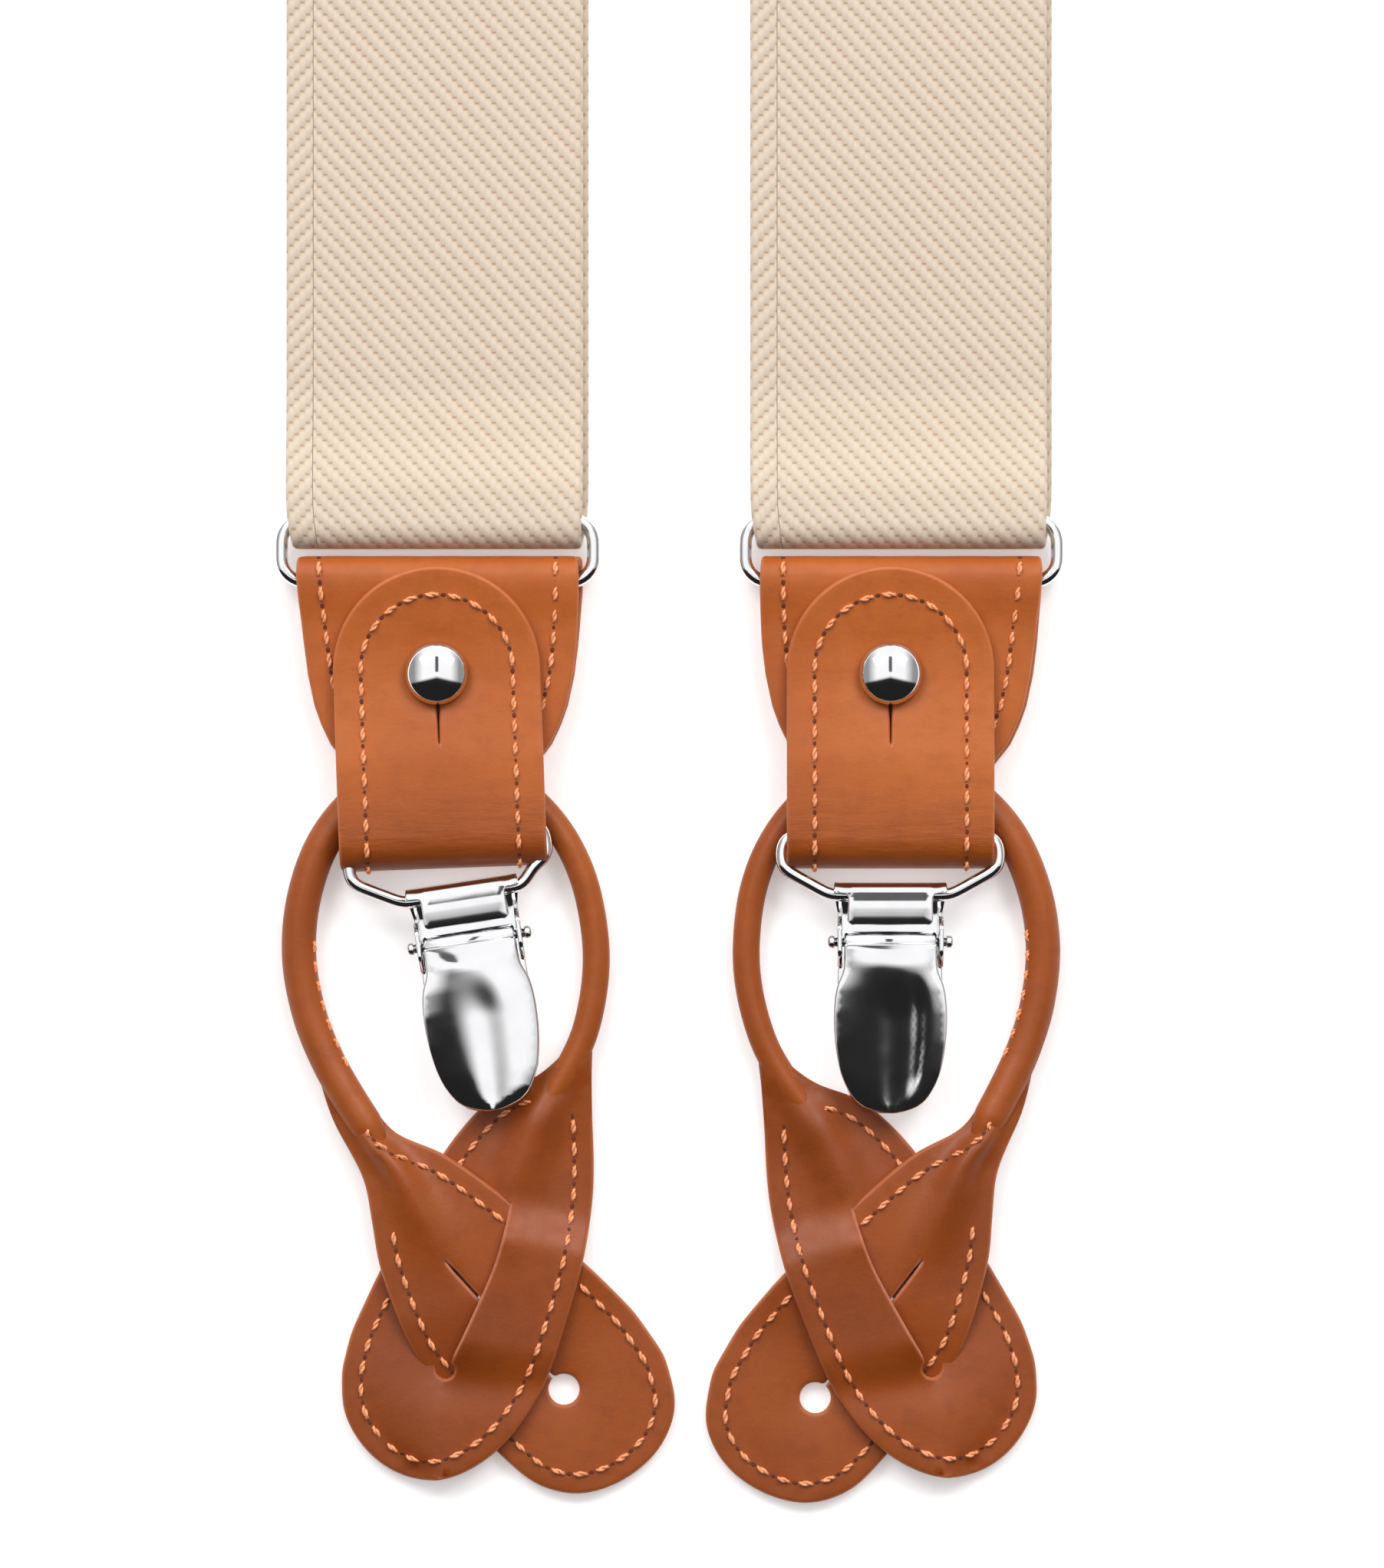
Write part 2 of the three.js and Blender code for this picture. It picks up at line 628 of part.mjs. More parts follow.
function clipLever() {
  const sections = [[CLIP_TIP_Y, 5.7], [-40.5, 5.85], [-37, 6.1], [-32, 6.35], [-25.5, 6.45], [-23.8, 6.45], [PIN_Y, 6.4]];
  const tongue = strip(sections.map(([y, z]) => level(y, z, ease(LEVER_EDGE, y))), PLATE);
  const roll = rod("x", 1.3, -5.8, 5.8, PIN_Y, PIN_Z);
  return cut(join(tongue, roll), rod("x", 0.9, -9, 9, PIN_Y, PIN_Z, 10));
}
const LEVER_EDGE = [
  [CLIP_TIP_Y, 1.8],
  [CLIP_TIP_Y + 1.5, 4.6],
  [-37, 6.8],
  [-32, 7.25],
  [-25.5, 6.6],
  [-23.8, 5.9],
  [PIN_Y, 5.8],
];

const jaw = () => strip([-40, -38.5, -35, -28, -22.6].map((y) => jawLevel(y, 5.1, 0.9)), 0.5);
const pad = (z) => block(-5, 5, -38, -30, z, z + 0.5);

// ---- The three ends ----
for (const end of ENDS) {
  const place = new THREE.Group();
  place.position.set(end.x, end.y, 0);
  place.rotation.z = THREE.MathUtils.degToRad(end.turn);
  group.add(place);

  const ringPlace = new THREE.Group();
  ringPlace.position.x = end.ringShift;
  place.add(ringPlace);
  add(ringPlace, `${end.name}_ring`, ring(), chrome);
  if (end.name === "rear") add(ringPlace, "rear_strap", rearStrap(), webbing);

  add(place, `${end.name}_tab`, tab(end), leather);
  add(place, `${end.name}_stud`, stud(), chrome);
  add(place, `${end.name}_stud_screw`, studScrew(), chrome);

  const swingAbout = (y, degrees) => {
    const pivot = new THREE.Group();
    pivot.position.y = y;
    pivot.rotation.z = THREE.MathUtils.degToRad(degrees);
    place.add(pivot);
    const inner = new THREE.Group();
    inner.position.y = -y;
    pivot.add(inner);
    return inner;
  };
  add(swingAbout(STUD_Y, end.lean), `${end.name}_flap`, flap(), leather);

  const loop = buttonLoop();
  add(swingAbout(1, end.loopSwing), `${end.name}_button_loop`, end.mirror ? mirrorX(loop) : loop, leather);

  const clip = swingAbout(WIRE_TOP_Y, end.clipSwing);
  clip.parent.position.x = end.clipShift;
  add(clip, `${end.name}_clip_wire`, clipWire(), chrome);
  add(clip, `${end.name}_clip_body`, clipBody(), chrome);
  add(clip, `${end.name}_clip_pin`, clipPin(), chrome);
  add(clip, `${end.name}_clip_lever`, clipLever(), chrome);
  add(clip, `${end.name}_clip_jaw`, jaw(), chrome);
  add(clip, `${end.name}_clip_pad_upper`, pad(4.05), rubber);
  add(clip, `${end.name}_clip_pad_lower`, pad(3.3), rubber);
}

export default group;
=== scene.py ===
"""Looks for the suspenders: woven straps, sewn leather ends, rolled button loops and bright wire and clip parts.

Lengths in this file are millimetres until a mesh is made. Each end is modelled about its own zero, under its stud's
middle line, with -Y towards the button holes, and then set down at its place on the surface.
"""

import math
from functools import partialmethod

import bmesh
import bpy
import numpy as np
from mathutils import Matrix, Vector
from mathutils.geometry import delaunay_2d_cdt


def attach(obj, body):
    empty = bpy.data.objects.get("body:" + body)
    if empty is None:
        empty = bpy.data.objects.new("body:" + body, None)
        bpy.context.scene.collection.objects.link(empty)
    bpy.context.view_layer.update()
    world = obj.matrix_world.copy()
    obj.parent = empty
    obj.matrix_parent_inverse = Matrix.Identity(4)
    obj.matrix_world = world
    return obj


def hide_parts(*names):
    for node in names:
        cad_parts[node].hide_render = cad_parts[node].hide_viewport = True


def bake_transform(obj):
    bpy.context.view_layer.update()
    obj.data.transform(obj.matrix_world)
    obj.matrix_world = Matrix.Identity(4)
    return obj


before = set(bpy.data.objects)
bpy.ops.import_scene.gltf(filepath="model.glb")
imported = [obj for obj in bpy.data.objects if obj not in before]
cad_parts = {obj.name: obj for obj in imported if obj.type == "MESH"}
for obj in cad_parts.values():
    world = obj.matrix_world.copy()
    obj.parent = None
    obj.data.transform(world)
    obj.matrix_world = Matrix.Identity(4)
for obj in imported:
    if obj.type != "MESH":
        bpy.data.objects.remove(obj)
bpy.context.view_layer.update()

MM = 0.001
ORIGIN_Y = 440.0
STRAP_X = 29.7
REAR_Y = 880.0
ADJUSTER_Y = 300.0
WEB_HALF = 19.0
WEB_THICK = 1.2
LEATHER = 1.5
FLAP_HALF = 13.25
STUD_Y = 14.1
BEND_Y, BEND_Z, BEND_MID = -7.07, 3.825, 3.075
RING_Y, RING_Z = 29.9, 2.7
STITCH_PITCH = 2.9
STITCH_JITTER = 0.06
TINY = 1e-9

# How each end lies at rest: its place, turn and mirroring, the sideways shift of its ring and of the tab's front layer
# (off), and the turn of its flap (lean), loop and clip in degrees. lever is the lever's fall along its length, its tilt
# across and its crown, groove is a hollow along it, and pinch narrows one side of the wire.
STRAIGHT = dict(y=0.0, turn=0, mirror=False, ring=0.0, lean=0.0, loop=0.0, clip=0.0, clip_x=0.0, off=0.0,
                lever=(0.094, 0.015, 0.4), groove=0.0, pinch=0.0)
ENDS = {
    "left": dict(STRAIGHT, x=-29.7, mirror=True, lean=2.1, loop=4.8, clip=8.5, clip_x=2.0, off=0.4,
                 lever=(0.08, 0.11, 0.7), pinch=0.17),
    "right": dict(STRAIGHT, x=28.25, ring=1.45, off=1.0, groove=0.22),
    "rear": dict(STRAIGHT, x=0.0, y=REAR_Y, turn=180),
}


# ---- Numbers ----
def turned(points, degrees, about=(0.0, 0.0)):
    a = math.radians(degrees)
    out = np.array(points, float)
    x, y = out[:, 0] - about[0], out[:, 1] - about[1]
    out[:, 0] = about[0] + x * math.cos(a) - y * math.sin(a)
    out[:, 1] = about[1] + x * math.sin(a) + y * math.cos(a)
    return out


def smooth(x, low, high):
    t = np.clip((np.asarray(x, float) - low) / (high - low), 0, 1)
    return t * t * (3 - 2 * t)


def table(at, pairs):
    """Reads (position, value) pairs as a straight-line table; positions rise."""
    p = np.array(pairs, float)
    return np.interp(at, p[:, 0], p[:, 1])


def unit(rows):
    """Each row at length 1."""
    return rows / np.maximum(np.linalg.norm(rows, axis=1, keepdims=True), TINY)


def run_of(line):
    """The length along a line at each of its points."""
    return np.r_[0, np.cumsum(np.linalg.norm(np.diff(line, axis=0), axis=1))]


def sampled(line, run, at):
    """The line's points at the given lengths."""
    return np.stack([np.interp(at, run, line[:, k]) for k in range(line.shape[1])], axis=1)


def in_equal_parts(line, count):
    run = run_of(line)
    return sampled(line, run, np.linspace(0, run[-1], count))


def resample(points, step, closed=False):
    p = np.array(points, float)
    if closed:
        p = np.vstack([p, p[:1]])
    out = in_equal_parts(p, max(int(round(run_of(p)[-1] / step)), 2) + 1)
    return out[:-1] if closed else out


def area(loop):
    """The area inside a closed line, above 0 when it runs anticlockwise."""
    return 0.5 * np.sum(loop[:, 0] * np.roll(loop[:, 1], -1) - np.roll(loop[:, 0], -1) * loop[:, 1])


def mirrored(right):
    """A closed outline from its right half."""
    right = np.array(right, float)
    return np.vstack([right, right[::-1] * [-1, 1]])


def spline(points, per=12):
    """A smooth open curve through the points."""
    p = np.array(points, float)
    p = np.vstack([2 * p[0] - p[1], p, 2 * p[-1] - p[-2]])
    t = np.linspace(0, 1, per, endpoint=False)[:, None]
    out = []
    for a, b, c, d in zip(p[:-3], p[1:-2], p[2:-1], p[3:], strict=True):
        square, cube = 2 * a - 5 * b + 4 * c - d, 3 * b - a - 3 * c + d
        out.append(0.5 * (2 * b + (c - a) * t + square * t**2 + cube * t**3))
    return np.vstack([*out, p[-2:-1]])


def circle_points(cx, cy, r, start, end, steps):
    a = np.radians(np.linspace(start, end, steps + 1))
    return np.stack([cx + r * np.cos(a), cy + r * np.sin(a)], axis=1)


def relaxed(points, rounds):
    """The same open line with its corners eased."""
    p = np.array(points, float)
    for _ in range(rounds):
        p[1:-1] = 0.25 * p[:-2] + 0.5 * p[1:-1] + 0.25 * p[2:]
    return p


def eased(loop, rounds):
    """The same closed line with its corners eased."""
    for _ in range(rounds):
        loop = 0.25 * np.roll(loop, 1, 0) + 0.5 * loop + 0.25 * np.roll(loop, -1, 0)
    return loop


def left_of(loop, closed=True):
    """Unit normals on the left of a line's direction."""
    if closed:
        d = np.roll(loop, -1, 0) - np.roll(loop, 1, 0)
    else:
        d = np.gradient(loop, axis=0)
    d = unit(d)
    return np.stack([-d[:, 1], d[:, 0]], axis=1)


def inside(points, loop):
    x, y = points[:, 0], points[:, 1]
    found = np.zeros(len(points), bool)
    for (ax, ay), (bx, by) in zip(loop, np.roll(loop, -1, 0), strict=True):
        crosses = (ay > y) != (by > y)
        if crosses.any():
            found ^= crosses & (x < (bx - ax) * (y - ay) / (by - ay + 1e-12) + ax)
    return found


def nearest(points, loop):
    """Distance from each point to the loop's own points."""
    out = np.full(len(points), 1e9)
    for start in range(0, len(points), 2000):
        part = points[start : start + 2000]
        out[start : start + 2000] = np.sqrt(((part[:, None] - loop[None]) ** 2).sum(2)).min(1)
    return out


class Bend:
    """A line in the YZ plane that flat work is bent along. Its measure is the length along it."""

    def __init__(self, *parts, ease=12):
        line = resample(np.vstack([np.array(p, float) for p in parts]), 0.2)
        self.line = relaxed(line, ease)
        self.at = run_of(self.line)
        self.length = self.at[-1]
        self.tangent = np.gradient(self.line, self.at, axis=0)

    def place(self, x, s, n):
        y, z = sampled(self.line, self.at, s).T
        dy, dz = sampled(self.tangent, self.at, s).T
        beyond = np.clip(s - self.length, 0, None) + np.clip(s, None, 0)
        return np.stack([x, y + dy * beyond - dz * n, z + dz * beyond + dy * n], axis=1)

    def where(self, y, last=False):
        """The length at which the line passes this y, first or last."""
        cross = np.nonzero((self.line[:-1, 0] - y) * (self.line[1:, 0] - y) <= 0)[0]
        return self.at[cross[-1 if last else 0]]


# ---- Meshes ----
def slab(outer, holes, thick, edge, step, flat_step=None):
    """A sheet cut to an outline, with rounded edges: its points (u, v, n), faces, and a rim value of 1 at the edge,
    which the leather turns into a painted highlight.
    """
    loops = [np.array(outer, float)] + [np.array(h, float) for h in holes]
    for k, loop in enumerate(loops):
        if (area(loop) > 0) == (k > 0):
            loops[k] = loop[::-1]
    loops = [resample(p, step, closed=True) for p in loops]
    side = thick / 2 - edge
    rounds = [(edge * (1 - math.cos(a)), side + edge * math.sin(a)) for a in np.radians([0, 25, 50, 72, 90])]
    profile = [(d, -n) for d, n in reversed(rounds)] + rounds
    points, faces, rim = [], [], []
    count = 0
    inner = []
    for loop in loops:
        size = len(loop)
        normal = left_of(loop)
        for d, n in profile:
            ring = loop + normal * d
            points.append(np.column_stack([ring, np.full(size, n)]))
            rim.append(np.full(size, 1 - 0.75 * d / edge))
        for k in range(len(profile) - 1):
            a = count + k * size + np.arange(size)
            b = count + k * size + (np.arange(size) + 1) % size
            faces += np.stack([a, b, b + size, a + size], axis=1).tolist()
        inner.append((loop + normal * edge, count, count + (len(profile) - 1) * size))
        count += len(profile) * size
    grid = flat_step or step
    low, high = inner[0][0].min(0), inner[0][0].max(0)
    xs, ys = np.arange(low[0] + grid / 2, high[0], grid), np.arange(low[1] + grid / 2, high[1], grid)
    cells = np.array([(x + (j % 2) * grid / 2, y) for j, y in enumerate(ys) for x in xs])
    keep = inside(cells, inner[0][0]) & (nearest(cells, inner[0][0]) > 0.55 * grid)
    for ring, _, _ in inner[1:]:
        keep &= ~inside(cells, ring) & (nearest(cells, ring) > 0.55 * grid)
    cells = cells[keep]
    flat = np.vstack([ring for ring, _, _ in inner] + [cells])
    edges, start = [], 0
    for ring, _, _ in inner:
        edges += [(start + i, start + (i + 1) % len(ring)) for i in range(len(ring))]
        start += len(ring)
    made = delaunay_2d_cdt([Vector(p) for p in flat], edges, [], 1, 1e-6)
    source = [o[0] if o else -1 for o in made[3]]
    tris = np.array([[source[i] for i in f] for f in made[2]])
    tris = tris[(tris >= 0).all(1)]
    middle = flat[tris].mean(1)
    keep = inside(middle, inner[0][0])
    for ring, _, _ in inner[1:]:
        keep &= ~inside(middle, ring)
    tris = tris[keep]
    a, b, c = (flat[tris[:, k]] for k in range(3))
    ab, ac = b - a, c - a
    clockwise = ab[:, 0] * ac[:, 1] - ab[:, 1] * ac[:, 0] < 0
    tris[clockwise] = tris[clockwise][:, ::-1]
    for top in (False, True):
        ids = []
        for ring, bottom_start, top_start in inner:
            ids.append((top_start if top else bottom_start) + np.arange(len(ring)))
        ids.append(count + np.arange(len(cells)))
        ids = np.concatenate(ids)
        used = ids[tris]
        faces += (used if top else used[:, ::-1]).tolist()
        points.append(np.column_stack([cells, np.full(len(cells), thick / 2 if top else -thick / 2)]))
        rim.append(0.25 * np.exp(-nearest(cells, inner[0][0]) / 0.5) if len(cells) else np.zeros(0))
        count += len(cells)
    return np.vstack(points), faces, np.concatenate(rim)


def swept(sections, closed=False):
    """A skin over a list of rings with the same number of points each."""
    rings = np.array(sections, float)
    count, sides = rings.shape[:2]
    faces = []
    for i in range(count if closed else count - 1):
        a = i * sides + np.arange(sides)
        b = i * sides + (np.arange(sides) + 1) % sides
        c = ((i + 1) % count) * sides
        faces += np.stack([a, b, c + (np.arange(sides) + 1) % sides, c + np.arange(sides)], axis=1).tolist()
    if not closed:
        faces.append(list(range(sides))[::-1])
        faces.append([(count - 1) * sides + k for k in range(sides)])
    return rings.reshape(-1, 3), faces


def tube(line, radius, sides=20, closed=False, tall=1.0):
    """A round bar along a line in space that mostly lies level. radius is one value or one for each point."""
    p = np.array(line, float)
    if closed:
        d = np.roll(p, -1, 0) - np.roll(p, 1, 0)
    else:
        d = np.gradient(p, axis=0)
    d = unit(d)
    across = unit(np.cross(d, [0, 0, 1.0]))
    lift = np.cross(across, d)
    r = np.broadcast_to(np.asarray(radius, float), (len(p),))
    a = np.linspace(0, 2 * np.pi, sides, endpoint=False)
    ring = p[:, None] + r[:, None, None] * (
        np.cos(a)[None, :, None] * across[:, None] + tall * np.sin(a)[None, :, None] * lift[:, None]
    )
    return swept(ring, closed)


def merged(*parts):
    points, faces, start = [], [], 0
    for p, f in parts:
        points.append(p)
        faces += [[i + start for i in face] for face in f]
        start += len(p)
    return np.vstack(points), faces


def make(name, points, faces, material, **values):
    """A mesh object from millimetre points; each further value becomes an attribute of its points."""
    data = bpy.data.meshes.new(name)
    data.from_pydata((np.asarray(points) * MM).tolist(), [], faces)
    for key, value in values.items():
        value = np.asarray(value, np.float32)
        vector = value.ndim == 2
        if not vector:
            value = value * np.ones(len(points), np.float32)
        slot = data.attributes.new(key, "FLOAT_VECTOR" if vector else "FLOAT", "POINT")
        slot.data.foreach_set("vector" if vector else "value", value.ravel())
    bm = bmesh.new()
    bm.from_mesh(data)
    bmesh.ops.recalc_face_normals(bm, faces=bm.faces)
    bm.to_mesh(data)
    bm.free()
    data.polygons.foreach_set("use_smooth", [True] * len(data.polygons))
    data.materials.append(material)
    obj = bpy.data.objects.new(name, data)
    bpy.context.scene.collection.objects.link(obj)
    return obj


def settle(obj, slot, body=None, nodes=(), between=None):
    """Sets a finished piece on the body it rides on, or bakes its place in when it lies between two, and hides the
    parts it stands for. slot is not used.
    """
    if between:
        first, second, start, end = between
        [v * MM for v in start]
        [v * MM for v in end]
        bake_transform(obj)
    else:
        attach(obj, body)
    if nodes:
        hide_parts(*nodes)
    return obj


def piece(name, points, faces, slot, body=None, nodes=(), between=None, **values):
    """A mesh with its slot's finish, settled. Leather has four values of its own, 0 where none is given: the rim for a
    painted highlight, the fold for creases with painted shade, the tone for darker leather that is partly painted
    shade, and raw for cut edges.
    """
    if slot == "leather":
        values = dict.fromkeys(("rim", "fold", "tone", "raw"), 0.0) | values
    return settle(make(name, points, faces, PAINTS[slot], **values), slot, body, nodes, between)


class End:
    """One of the three ends: how its pieces hang at rest, and where it lies."""

    def __init__(self, name):
        self.name = name
        self.__dict__.update(ENDS[name])

    def world(self, points):
        p = turned(points, self.turn)
        return p + np.array([self.x, self.y - ORIGIN_Y, 0])

    def leant(self, points):
        return self.world(turned(points, self.lean, (0, STUD_Y)))

    def ringed(self, points):
        return self.world(np.asarray(points) + np.array([self.ring, 0, 0]))

    def looped(self, points):
        p = np.array(points, float)
        if self.mirror:
            p[:, 0] *= -1
        return self.world(turned(p, self.loop, (0, 1)))

    def clipped(self, points):
        p = turned(points, self.clip, (0, -5.6))
        return self.world(p + np.array([self.clip_x, 0, 0]))


# ---- Materials ----
class Value:
    """A value in a material's nodes. Sums and products of values add the nodes that work them out."""

    def __init__(self, tree, socket):
        self.tree, self.socket = tree, socket

    def math(self, operation, *others):
        node = self.tree.nodes.new("ShaderNodeMath")
        node.operation = operation
        for k, other in enumerate((self, *others)):
            plug(self.tree, node.inputs[k], other)
        return Value(self.tree, node.outputs[0])

    __add__ = __radd__ = partialmethod(math, "ADD")
    __sub__ = partialmethod(math, "SUBTRACT")
    __mul__ = __rmul__ = partialmethod(math, "MULTIPLY")
    __truediv__ = partialmethod(math, "DIVIDE")
    __pow__ = partialmethod(math, "POWER")

    def __rsub__(self, other):
        return self * -1.0 + other


def plug(tree, socket, value):
    if isinstance(value, Value):
        tree.links.new(value.socket, socket)
    else:
        socket.default_value = value


class Paint:
    """One material and its nodes."""

    def __init__(self, name):
        self.material = bpy.data.materials.new(name)
        self.material.use_nodes = True
        self.tree = self.material.node_tree
        self.shader = self.tree.nodes["Principled BSDF"]

    def node(self, kind, inputs=(), output=0, **settings):
        n = self.tree.nodes.new(kind)
        for key, value in settings.items():
            setattr(n, key, value)
        for key, value in dict(inputs).items():
            plug(self.tree, n.inputs[key], value)
        return Value(self.tree, n.outputs[output])

    def place(self):
        return self.node("ShaderNodeTexCoord", output="Object")

    def read(self, name, output="Fac"):
        return self.node("ShaderNodeAttribute", output=output, attribute_name=name)

    def split(self, vector):
        n = self.tree.nodes.new("ShaderNodeSeparateXYZ")
        self.tree.links.new(vector.socket, n.inputs[0])
        return [Value(self.tree, s) for s in n.outputs]

    def noise(self, vector, scale, detail=2.0, rough=0.5):
        inputs = {"Vector": vector, "Scale": scale, "Detail": detail, "Roughness": rough}
        return self.node("ShaderNodeTexNoise", inputs)

    def stretch(self, vector, scale):
        return self.node("ShaderNodeMapping", {"Vector": vector, "Scale": scale})

    def blend(self, share, low, high):
        """A colour between two, each a colour or a value."""
        n = self.tree.nodes.new("ShaderNodeMix")
        n.data_type = "RGBA"
        n.clamp_factor = True
        plug(self.tree, n.inputs[0], share)
        plug(self.tree, n.inputs[6], low)
        plug(self.tree, n.inputs[7], high)
        return Value(self.tree, n.outputs[2])

    def step(self, value, low, high):
        """0 below low, 1 above high."""
        inputs = {"Value": value, "From Min": low, "From Max": high}
        return self.node("ShaderNodeMapRange", inputs, interpolation_type="SMOOTHSTEP")

    def bump(self, height, distance, strength=1.0):
        return self.node("ShaderNodeBump", {"Height": height, "Distance": distance, "Strength": strength})

    def finish(self, **inputs):
        for key, value in inputs.items():
            plug(self.tree, self.shader.inputs[key.replace("_", " ")], value)
        return self.material


def rgb(r, g, b):
    """A colour given in everyday 0 to 255 steps."""
    def linear(c):
        c /= 255
        return c / 12.92 if c <= 0.04045 else ((c + 0.055) / 1.055) ** 2.4

    return (linear(r), linear(g), linear(b), 1.0)


def leather_material():
    m = Paint("tan_leather")
    at = m.place()
    cloud = m.noise(at, 45.0, 3.0)
    mottle = m.noise(at, 420.0, 4.0, 0.6)
    grain = m.noise(at, 1900.0, 3.0, 0.6)
    crease = m.noise(m.stretch(at, (150.0, 900.0, 500.0)), 1.0, 5.0, 0.6)
    rim, fold, tone, raw = (m.read(name) for name in ("rim", "fold", "tone", "raw"))
    # The tone value blends towards darker leather: painted shade that darkens the button loops and the flap's top face
    # near its lower fold, and a slight darkening of the tab and the flap as a whole.
    light = m.blend(m.step(cloud, 0.3, 0.75), rgb(186, 98, 38), rgb(172, 86, 30))
    dark = m.blend(m.step(cloud, 0.35, 0.7), rgb(140, 64, 12), rgb(124, 54, 8))
    base = m.blend(tone, light, dark)
    base = m.blend(m.step(mottle, 0.42, 0.75) * 0.3, base, m.blend(tone, rgb(152, 72, 26), rgb(106, 44, 7)))
    # Painted highlight: the leather is lighter along its rims.
    base = m.blend(m.step(rim, 0.25, 0.9) * 0.45, base, rgb(200, 116, 74))
    # Painted shade: the creases near the folds are darker, away from the rims.
    crease_shade = m.step(rim, 0.3, 0.0) * fold * m.step(crease, 0.5, 0.62)
    base = m.blend(crease_shade * 0.22, base, rgb(140, 66, 28))
    base = m.blend(raw, base, m.blend(grain, rgb(206, 140, 116), rgb(186, 112, 88)))
    rough = 0.34 + mottle * 0.18 + raw * 0.3
    height = grain * 0.35 + mottle * 0.5 + crease * fold * 1.7
    normal = m.bump(height, 0.00009, 0.8)
    return m.finish(Base_Color=base, Roughness=rough, Normal=normal, Specular_IOR_Level=0.34)


def thread_material():
    m = Paint("orange_thread")
    fibre = m.noise(m.place(), 3000.0, 3.0, 0.6)
    base = m.blend(m.step(fibre, 0.3, 0.7), rgb(222, 130, 80), rgb(250, 176, 128))
    return m.finish(Base_Color=base, Roughness=0.6, Normal=m.bump(fibre, 0.00005, 0.7))


def hole_shade_material():
    m = Paint("needle_hole")
    fibre = m.noise(m.place(), 2500.0, 3.0)
    # Painted shade: the dark brown of the disc that stands for the shadow in a needle hole.
    return m.finish(Base_Color=m.blend(fibre, rgb(66, 30, 17), rgb(112, 52, 28)), Roughness=0.85)


def chrome_material():
    m = Paint("bright_nickel")
    haze = m.noise(m.place(), 260.0, 3.0)
    wave = m.noise(m.place(), 90.0, 2.0)
    tint = m.blend(haze, rgb(236, 236, 237), rgb(222, 222, 224))
    normal = m.bump(wave, 0.00006, 0.5)
    return m.finish(Base_Color=tint, Metallic=1.0, Roughness=0.05 + haze * 0.06, Normal=normal)


def rubber_material():
    m = Paint("grip_rubber")
    fine = m.noise(m.place(), 1200.0, 3.0)
    base = m.blend(fine, rgb(38, 38, 41), rgb(58, 58, 60))
    return m.finish(Base_Color=base, Roughness=0.8, Normal=m.bump(fine, 0.00005))


def webbing_material():
    """Warp-faced twill: ribs of raised warp floats that step one pick down at each yarn, reversed in the selvedge."""
    m = Paint("cream_twill")
    across, along, _ = m.split(m.read("weave", "Vector"))
    place = m.place()
    yarn, pick = 0.72, 0.76
    wander = m.noise(place, 160.0, 2.0) * 0.5 - 0.25
    selvedge = -15.6
    turn = m.step(across, selvedge, selvedge + 0.1) * 2.0 - 1.0
    index = (across / yarn).math("FLOOR") + 0.5
    middle = across / yarn - index
    picks = along / pick + wander
    stepped = (index * turn + picks) / 3.0
    slanted = ((index * 0.45 + across / yarn * 0.55) * turn + picks) / 3.0
    rise = (slanted * (2 * math.pi)).math("COSINE") * 0.5 + 0.5
    height = rise ** 0.8 * ((middle * 2.7).math("COSINE") * 0.36 + 0.64)
    from_valley = (stepped.math("FRACT") - 0.5).math("ABSOLUTE")
    shaded_gap = m.step(from_valley, 0.085, 0.03) * m.step(middle.math("ABSOLUTE"), 0.42, 0.3)
    fibre = m.noise(m.stretch(place, (5200.0, 1500.0, 2000.0)), 1.0, 3.0, 0.6)
    cloud = m.noise(place, 60.0, 2.0)
    # Painted shade: the valleys between the ribs are darker than the cream yarn.
    valley_shade = m.blend(cloud, rgb(209, 190, 167), rgb(203, 183, 159))
    cream = m.blend(fibre, rgb(219, 203, 184), rgb(207, 190, 169))
    base = m.blend(m.step(height, 0.08, 0.62), valley_shade, cream)
    # Painted shade: darker still in the gap where each float ends.
    base = m.blend(shaded_gap * 0.6, base, rgb(170, 136, 108))
    normal = m.bump(height - shaded_gap * 0.3 + fibre * 0.2, 0.00013, 0.9)
    return m.finish(Base_Color=base, Roughness=0.9, Normal=normal, Sheen_Weight=0.25, Sheen_Roughness=0.5)


THREAD_PAINT = thread_material()
HOLE_SHADE_PAINT = hole_shade_material()
PAINTS = {
    "leather": leather_material(),
    "chrome": chrome_material(),
    "rubber": rubber_material(),
    "webbing": webbing_material(),
}


# ---- Stitches ----
def two_ply_stitch():
    """One visible stitch, 1 long, lying along X with its ends dipping into the leather."""
    points, faces = [], []
    steps, sides = 9, 6
    for ply in (0, 1):
        t = np.linspace(-1, 1, steps)
        a = math.pi * (0.9 * t + ply)
        lie = np.stack([t, 0.17 * np.cos(a), 0.17 * np.sin(a) + 0.2 - 0.42 * np.abs(t) ** 3], axis=1)
        p, f = tube(lie * [0.95, 1, 1], 0.2 * np.sqrt(np.clip(1.12 - t**4, 0.05, 1)), sides)
        faces += [[i + len(points) * steps * sides for i in face] for face in f]
        points.append(p)
    return np.vstack(points), faces


def needle_hole():
    # A low dark disc on the leather, which paints the shade of a needle hole.
    around = np.linspace(0, 2 * np.pi, 10, endpoint=False)
    profile = ((0.36, -0.2), (0.35, 0.02), (0.2, 0.04), (0.04, 0.05))
    return swept([[(r * math.cos(a), 0.75 * r * math.sin(a), z) for a in around] for r, z in profile])


def hidden(name, shape, material):
    obj = make(name, *shape, material)
    bpy.context.scene.collection.objects.unlink(obj)
    return obj


